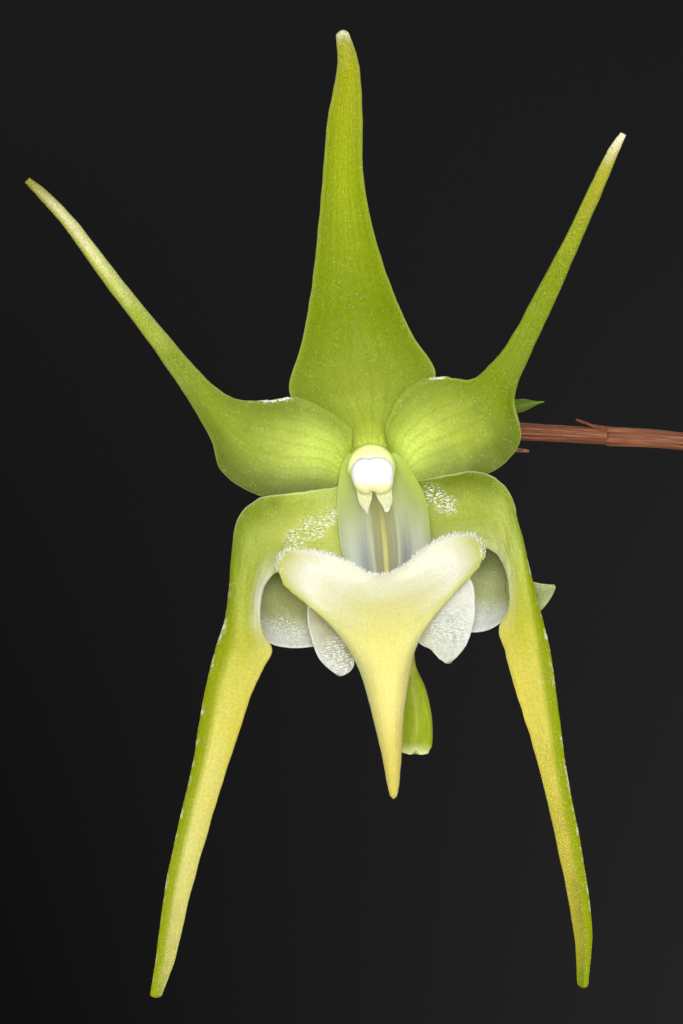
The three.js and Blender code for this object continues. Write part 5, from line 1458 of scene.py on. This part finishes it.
class ORCHID_OT_lip(bpy.types.Operator):
    """Lip: two round downy lobes and a long point, two reflexed flaps behind it and the claw it hangs by"""
    bl_idname = "orchid.lip"
    bl_label = "Lip"

    def execute(self, context):
        settings = context.scene.orchid_flower
        margin = {0: "#f4f1e2", 0.3: "#f8f5ea", 0.4: "#ece8c4", 0.47: "#d4d08c", 0.62: "#d6d284",
                  0.78: "#e0d47a", 1: "#cdbb56"}
        velvet = living_tissue(
            "downy_lip_tissue", left=margin, right=margin,
            middle={0: "#ece9d2", 0.14: "#efecd4", 0.32: "#e8e296", 0.5: "#e8e184", 0.75: "#eee38a",
                    0.92: "#dccb68", 1: "#d0bf58"},
            painted_sparkle=0.5, veins=0.0, mottle=0.05, outline=("#bcc05a", 0.76, 1.0, 0.18), Roughness=0.62,
            Subsurface_Weight=0.3, Sheen_Weight=0.25, Subsurface_Radius=(1.0, 0.9, 0.5),
        )
        blade = Blade(LIP)

        def relief(u, v):
            """Lobes plump up, and their margin is scalloped"""
            plump = 0.55 * hill(abs(u), 0.62, 0.3) * hill(v, 0.26, 0.16)
            scallop = 0.26 * math.sin(v * 140 + 3 * math.sin(v * 31)) * step(abs(u), 0.9, 1.0)
            scallop *= step(v, 0.2, 0.3) * (1 - step(v, 0.55, 0.66))
            grain = 0.05 * noise.noise(Vector((u * 30, v * 60, 0)))
            return plump + grain, scallop * (1 if u > 0 else -1), 0.0

        mesh = blade_mesh(blade, 130, 30, relief=relief, blunt=0.02)
        finish_piece("lip_blade", mesh, velvet, "lip", "lip", wall=settings.lip_wall / MM)
        down = self.down_mesh(blade, settings.hairs, settings.hair_length / MM)
        hair = wax("lip_down", "#ffffff", "#fffdf4", 0.14, 0.16, Roughness=0.5, Coat_Weight=0.0,
                   Subsurface_Weight=0.0)
        finish_piece("lip_down", down, hair, "lip", "lip", subdivide=0)
        # The left flap is painted darker towards its top, the lip's shadow on it, and the right one paler,
        # lit full; each has a patch of painted glints
        flaps = [
            ("left", LIP_FLAP_LEFT, ((-4.2, 6, -23.6), 3.6),
             {0: "#7d7b46", 0.5: "#a2a076", 1: "#c6c8bc"},
             {0: "#8f8d55", 0.4: "#b2b28c", 0.75: "#c9cabb", 1: "#d2d4ca"},
             {0: "#a2a07c", 0.4: "#bcbc98", 0.6: "#d2d3c4", 1: "#dfe1d8"}),
            ("right", LIP_FLAP_RIGHT, ((9.8, 6, -19.4), 4.6),
             {0: "#b6b692", 0.4: "#c6c8a2", 1: "#dcded4"},
             {0: "#d4d4b8", 0.25: "#e8eadc", 0.5: "#d4d6ca", 1: "#d4d6cc"},
             {0: "#eeeee4", 0.3: "#f0f1e8", 1: "#dadcd2"}),
        ]

        def frosted(u, v):
            """Fine crumpling that glistens"""
            return 0.16 * noise.noise(Vector((u * 4, v * 9, 6.0))), 0.0, 0.0

        for side, rows, patch, left, middle, right in flaps:
            clear = living_tissue(
                f"clear_flap_tissue_{side}", left, middle, right, painted_sparkle=0.6, veins=0.0, glint_patches=[patch],
                outline=("#ffffff", 0.94, 0.9, 0.0), Roughness=0.3, Subsurface_Weight=0.4,
                Subsurface_Radius=(1.0, 1.0, 0.9),
            )
            flap = blade_mesh(Blade(rows), 40, 20, relief=frosted, blunt=0.22)
            finish_piece(f"lip_flap_{side}", flap, clear, "lip", "lip", wall=settings.lip_wall / MM)
        claw = stalk_mesh(CLAW_LINE, CLAW_WIDE, rows=24, sides=20, at=FLOWER_AT)
        pale = green_flesh("lip_claw_tissue", "#dfe0b0", "#c4c88a")
        finish_piece("lip_claw", claw, pale, "lip", "lip")
        return {"FINISHED"}

    def down_mesh(self, blade, count, length):
        """Short stiff hairs along the lip's upper margin, from lobe to lobe"""
        mesh = bmesh.new()
        rng = random.Random(HAIR_SEED)
        for _ in range(count):
            along = rng.random()
            # Down one lobe's margin, across the base and up the other's
            if along < 0.3:
                u, v = -1.0, (0.3 - along) / 0.3 * 0.27
            elif along > 0.7:
                u, v = 1.0, (along - 0.7) / 0.3 * 0.27
            else:
                u, v = (along - 0.3) / 0.4 * 2 - 1, 0.0
            u *= rng.uniform(0.96, 1.0)
            v += rng.uniform(0.0, 0.02)
            root = blade.point(u, v) + blade.normal(u, v) * rng.uniform(-0.15, 0.3)
            wide, tall = blade.slopes(u, v)
            out = -tall if abs(u) < 0.93 or v < 0.015 else wide * (1 if u > 0 else -1)
            lean = Vector((rng.uniform(-0.5, 0.5), rng.uniform(-0.9, 0.0), rng.uniform(0.3, 1.0)))
            aim = (out * 0.4 + lean).normalized()
            long = length * rng.uniform(0.6, 1.1)
            turn = Vector((0, 0, 1)).rotation_difference(aim).to_matrix().to_4x4()
            place = Matrix.Translation((root + aim * long * 0.4) * MM) @ turn
            bmesh.ops.create_cone(mesh, cap_ends=True, segments=3, radius1=0.07 * MM, radius2=0.014 * MM,
                                  depth=long * MM, matrix=place)
        return mesh


class ORCHID_OT_column(bpy.types.Operator):
    """Column: a pale hood, two small teeth and the clear striped foot that runs down to the lip"""
    bl_idname = "orchid.column"
    bl_label = "Column"

    def execute(self, context):
        settings = context.scene.orchid_flower
        # Half width against distance from the viewer; the front is hollow and holds the cap
        profile = [(0, 8.7), (1.5, 8.6), (2.15, 8.1), (2.3, 6.5), (2.45, 4.9), (2.8, 3.5), (3.05, 2.2),
                   (3.1, 1.1), (2.95, 0.3), (2.65, -0.12), (2.3, -0.1), (1.6, 0.2), (0.8, 0.3), (0, 0.3)]
        hood = turned_mesh(profile, 48, axis=(0, 1, 0), unit=1.0)
        for vert in hood.verts:
            x, y, z = vert.co
            front = 1 - step(y, 0.5, 3.0)
            # The hood is cut back underneath, where the teeth stand, and peaks a little over the cap
            y += 4.4 * front * step(-z, -0.2, 2.0)
            z = z * (1 + 0.05 * front * (z > 0)) + COLUMN_LIFT
            vert.co = (Vector((x - 0.1 * front, y, z)) + FLOWER_AT) * MM
        flesh = glowing_flesh("column_flesh_painted_glow", settings.hood, "#b6c84c")
        finish_piece("column_hood", hood, flesh, "column", "column", subdivide=2)
        foot = Blade(COLUMN_FOOT)

        def channel(u, v):
            """Raised veins down the clear foot, and margins that roll back into the sepals at its top"""
            veins = sum(0.12 * hill(u, line, 0.07) for line in (-0.3, 0.03, 0.34)) * step(v, 0.35, 0.6)
            return veins - 0.5 * step(abs(u), 0.85, 1.0) * (1 - step(v, 0.4, 0.58)), 0.0, 0.0

        mesh = blade_mesh(foot, 70, 36, relief=channel, thin=0.9)
        glass = striped_glass("clear_striped_tissue")
        finish_piece("column_foot", mesh, glass, "column", "column", wall=0.35)
        pale = {0: "#f4f2bc", 0.3: "#e9eab4", 0.5: "#dadcac", 0.85: "#dcdeb0", 1: "#f2f3da"}
        teeth = living_tissue("pale_tooth_tissue", left=pale, middle=pale, right=pale, painted_sparkle=0.1, veins=0.0,
                              outline=("#ffffff", 0.82, 1.0, 0.0), Subsurface_Weight=0.3, Roughness=0.35)
        for side, rows in (("left", TOOTH_LEFT), ("right", TOOTH_RIGHT)):
            tooth = blade_mesh(Blade(rows), 20, 12)
            finish_piece(f"column_tooth_{side}", tooth, teeth, "column", "column", wall=0.5)
        return {"FINISHED"}


class ORCHID_OT_anther_cap(bpy.types.Operator):
    """White cap over the pollen: heart-shaped above, two blunt lobes below"""
    bl_idname = "orchid.anther_cap"
    bl_label = "Anther Cap"

    def execute(self, context):
        settings = context.scene.orchid_flower
        mesh = bmesh.new()
        bmesh.ops.create_uvsphere(mesh, u_segments=40, v_segments=28, radius=1)
        for vert in mesh.verts:
            square = 0.5 if vert.co.z < 0 else 0.72
            x, y, z = (math.copysign(abs(c) ** power, c) for c, power in zip(vert.co, (square, 0.9, square)))
            taper = (0.26 if x < 0 else 0.08) * max(0.0, -z) ** 1.2
            x *= (1 - taper) * CAP_HALF.x
            notch = hill(x, -0.35, 0.3) * 0.3 * max(0.0, z) ** 2
            cleft = hill(x, 0.16, 0.3) * 0.55 * max(0.0, -z) ** 2
            groove = hill(x, 0.16, 0.4) * 0.35 * max(0.0, 0.2 - z) * (y < 0)
            place = Vector((x, y * CAP_HALF.y + groove, z * CAP_HALF.z - notch + cleft))
            vert.co = (place + CAP_AT + FLOWER_AT) * MM
        foot = (FLOWER_AT.z + CAP_AT.z - 1.5) * MM
        white = wax("waxy_white_cap", settings.cap, settings.cap_foot, foot, foot + 1.1 * MM,
                    Subsurface_Radius=(0.7, 0.7, 0.4), Coat_Weight=0.0)
        finish_piece("pollen_cap", mesh, white, "anther_cap", "anther_cap")
        return {"FINISHED"}


class ORCHID_OT_spur(bpy.types.Operator):
    """Nectar spur behind the lip: a thin neck and a swollen end in two glossy lobes"""
    bl_idname = "orchid.spur"
    bl_label = "Spur"

    def execute(self, context):
        settings = context.scene.orchid_flower

        def club(share, turn):
            """Low ribs down the swollen end"""
            return 1 + 0.05 * math.cos(turn * 5 + 1) * step(share, 0.5, 0.8)

        mesh = stalk_mesh(SPUR_LINE, SPUR_WIDE, SPUR_DEEP, rows=90, sides=36, at=FLOWER_AT, shape=club)
        # The end is blunt, with a cleft that parts it into two lobes
        end = (FLOWER_AT.z + SPUR_LINE[-1][2]) * MM
        for vert in mesh.verts:
            low = 1 - step(vert.co.z, end, end + 2.2 * MM)
            aside = (vert.co.x / MM - FLOWER_AT.x - SPUR_LINE[-1][0])
            vert.co.z += (0.55 + 1.4 * hill(aside, 0.1, 0.36) + 0.25 * abs(aside)) * low * MM
        # The pale tip is a painted highlight on the glossy end; the neck is pale olive-yellow, painted
        # lighter still against the shade it lies in
        flesh = green_flesh("spur_flesh", settings.spur, "#93a01c", tip="#e2e8a4", tip_from=18.6,
                            neck="#c0bc50", neck_to=8.4, Roughness=0.4, Specular_IOR_Level=0.18)
        finish_piece("nectar_spur", mesh, flesh, "green_tissue", "spur")
        return {"FINISHED"}


class ORCHID_OT_ovary(bpy.types.Operator):
    """Ribbed ovary and stalk behind the flower, the next bud and the dry bract under it"""
    bl_idname = "orchid.ovary"
    bl_label = "Ovary, Bud and Bract"

    def execute(self, context):
        settings = context.scene.orchid_flower

        def ribbed(share, turn):
            """Six low ribs that twist half round"""
            return 1 + 0.06 * math.cos(turn * 6 + share * 3) - 0.02

        ovary = stalk_mesh(OVARY_LINE, OVARY_WIDE, rows=70, sides=36, at=FLOWER_AT, shape=ribbed)
        flesh = green_flesh("ovary_flesh", "#9db24a", "#7f9634")
        finish_piece("ovary_stalk", ovary, flesh, "green_tissue", "ovary")

        def pointed(share, turn):
            """Sharp tip and a slight keel"""
            return (1 - 0.75 * step(share, 0.75, 1.0)) * (1 + 0.08 * math.cos(turn * 2))

        bud = stalk_mesh(BUD_LINE, BUD_WIDE, BUD_DEEP, rows=50, sides=24, at=FLOWER_AT, shape=pointed)
        skin = green_flesh("bud_skin", settings.bud, "#5b701a", Roughness=0.4, Specular_IOR_Level=0.15)
        finish_piece("next_bud", bud, skin, "green_tissue", "bud")
        bract = blade_mesh(Blade(FLORAL_BRACT), 40, 12,
                           relief=lambda u, v: (0.12 * noise.noise(Vector((u * 3, v * 14, 0))), 0.0, 0.0))
        grain_from_place(bract)
        paper = dry_fibre("papery_bract", "#9a6a45", "#5c3623", "#c9a27c")
        finish_piece("papery_bract", bract, paper, "flower_stem", "floral_bract", wall=0.35)
        scale = blade_mesh(Blade(BUD_BRACT), 24, 10)
        grain_from_place(scale)
        finish_piece("bud_bract", scale, paper, "flower_stem", "flower_stem", wall=0.25)
        return {"FINISHED"}


# Floor, lights and camera


class ORCHID_OT_stage(bpy.types.Operator):
    """Pale floor, dark backdrop, soft lights and the camera in front of the flower"""
    bl_idname = "orchid.stage"
    bl_label = "Stage"

    def execute(self, context):
        scene = context.scene
        settings = scene.orchid_stage
        mesh = bmesh.new()
        bmesh.ops.create_circle(mesh, cap_ends=True, segments=96, radius=settings.floor_radius)
        data = bpy.data.meshes.new("floor")
        mesh.to_mesh(data)
        mesh.free()
        floor = bpy.data.objects.new("floor", data)
        scene.collection.objects.link(floor)
        data.materials.append(painted_floor("painted_floor", settings.floor, settings.floor_radius))
        flower = FLOWER_AT * MM
        lights = [
            ("key_softbox", Vector((0, -0.8, 0.07)), 0.26, settings.key_power),
            ("left_softbox", Vector((-0.8, -0.55, 0.3)), 0.5, settings.fill_power),
            ("right_softbox", Vector((0.8, -0.6, 0.35)), 0.5, settings.fill_power),
            ("top_softbox", Vector((0.2, 0.1, 1.2)), 0.7, settings.fill_power * 1.6),
            ("back_softbox", Vector((0.3, 1.2, 0.5)), 0.7, settings.fill_power),
        ]
        for name, offset, size, power in lights:
            lamp = bpy.data.lights.new(name, "AREA")
            lamp.shape = "DISK"
            lamp.size = size
            lamp.energy = power
            holder = bpy.data.objects.new(name, lamp)
            holder.location = flower + offset
            holder.rotation_euler = (-offset).to_track_quat("-Z", "Y").to_euler()
            holder.visible_camera = False
            scene.collection.objects.link(holder)
        world = bpy.data.worlds.new("studio")
        scene.world = world
        world.use_nodes = True
        world.node_tree.nodes.clear()
        node = partial(add_node, world.node_tree)
        seen = node("LightPath")
        # The backdrop is black cloth with painted light on it, lighter towards the right and the upper left
        way = node("SeparateXYZ", {"Vector": (node("TexCoord"), "Generated")})
        cross = node("Math", {0: (way, "X"), 1: (way, "Z")}, operation="MULTIPLY")
        tilt = node("Math", {0: cross, 1: -11.0, 2: (way, "X")}, operation="MULTIPLY_ADD")
        fall = node("MapRange", {"Value": tilt, "From Min": -0.12, "From Max": 0.12, "To Min": 0.4,
                                 "To Max": 1.5})
        shade = node("Background", {"Color": settings.backdrop, "Strength": fall})
        glow = node("Background", {"Color": (1.0, 1.0, 1.0, 1.0), "Strength": settings.ambient})
        mix = node("MixShader", {0: (seen, "Is Camera Ray"), 1: glow, 2: shade})
        node("OutputWorld", {"Surface": mix})
        scene.view_settings.view_transform = "Standard"
        camera_data = bpy.data.cameras.new("camera")
        camera_data.lens = LENS
        camera_data.sensor_width = SENSOR_WIDTH
        camera_data.clip_start = 0.01
        camera = bpy.data.objects.new("camera", camera_data)
        camera.location = flower + CAMERA_FROM_FLOWER * MM
        camera.rotation_euler = (math.pi / 2, 0, 0)
        scene.collection.objects.link(camera)
        scene.camera = camera
        return {"FINISHED"}


PIECES = (
    ORCHID_OT_stage, ORCHID_OT_pot, ORCHID_OT_bark, ORCHID_OT_roots, ORCHID_OT_stem, ORCHID_OT_leaves,
    ORCHID_OT_flower_stem, ORCHID_OT_dorsal_sepal, ORCHID_OT_petals, ORCHID_OT_side_sepals, ORCHID_OT_lip,
    ORCHID_OT_column, ORCHID_OT_anther_cap, ORCHID_OT_spur, ORCHID_OT_ovary,
)


class ORCHID_PT_panel(bpy.types.Panel):
    """Buttons that build each part of the orchid, under the settings they read"""
    bl_idname = "ORCHID_PT_panel"
    bl_label = "Comet Orchid"
    bl_space_type = "VIEW_3D"
    bl_region_type = "UI"
    bl_category = "Orchid"

    def draw(self, context):
        column = self.layout.column(align=True)
        for group in SETTINGS:
            values = getattr(context.scene, group)
            for name in values.bl_rna.properties.keys():
                if name not in ("rna_type", "name"):
                    column.prop(values, name)
        for piece in PIECES:
            column.operator(piece.bl_idname)


SETTINGS = {
    "orchid_flower": FlowerSettings,
    "orchid_plant": PlantSettings,
    "orchid_pot": PotSettings,
    "orchid_stage": StageSettings,
}


def register():
    for kind in (*SETTINGS.values(), *PIECES, ORCHID_PT_panel):
        bpy.utils.register_class(kind)
    for name, kind in SETTINGS.items():
        setattr(bpy.types.Scene, name, PointerProperty(type=kind))


def unregister():
    for name in SETTINGS:
        delattr(bpy.types.Scene, name)
    for kind in (ORCHID_PT_panel, *reversed(PIECES), *reversed(list(SETTINGS.values()))):
        bpy.utils.unregister_class(kind)


def main():
    register()
    for piece in PIECES:
        group, name = piece.bl_idname.split(".")
        getattr(getattr(bpy.ops, group), name)()


if __name__ == "__main__":
    main()
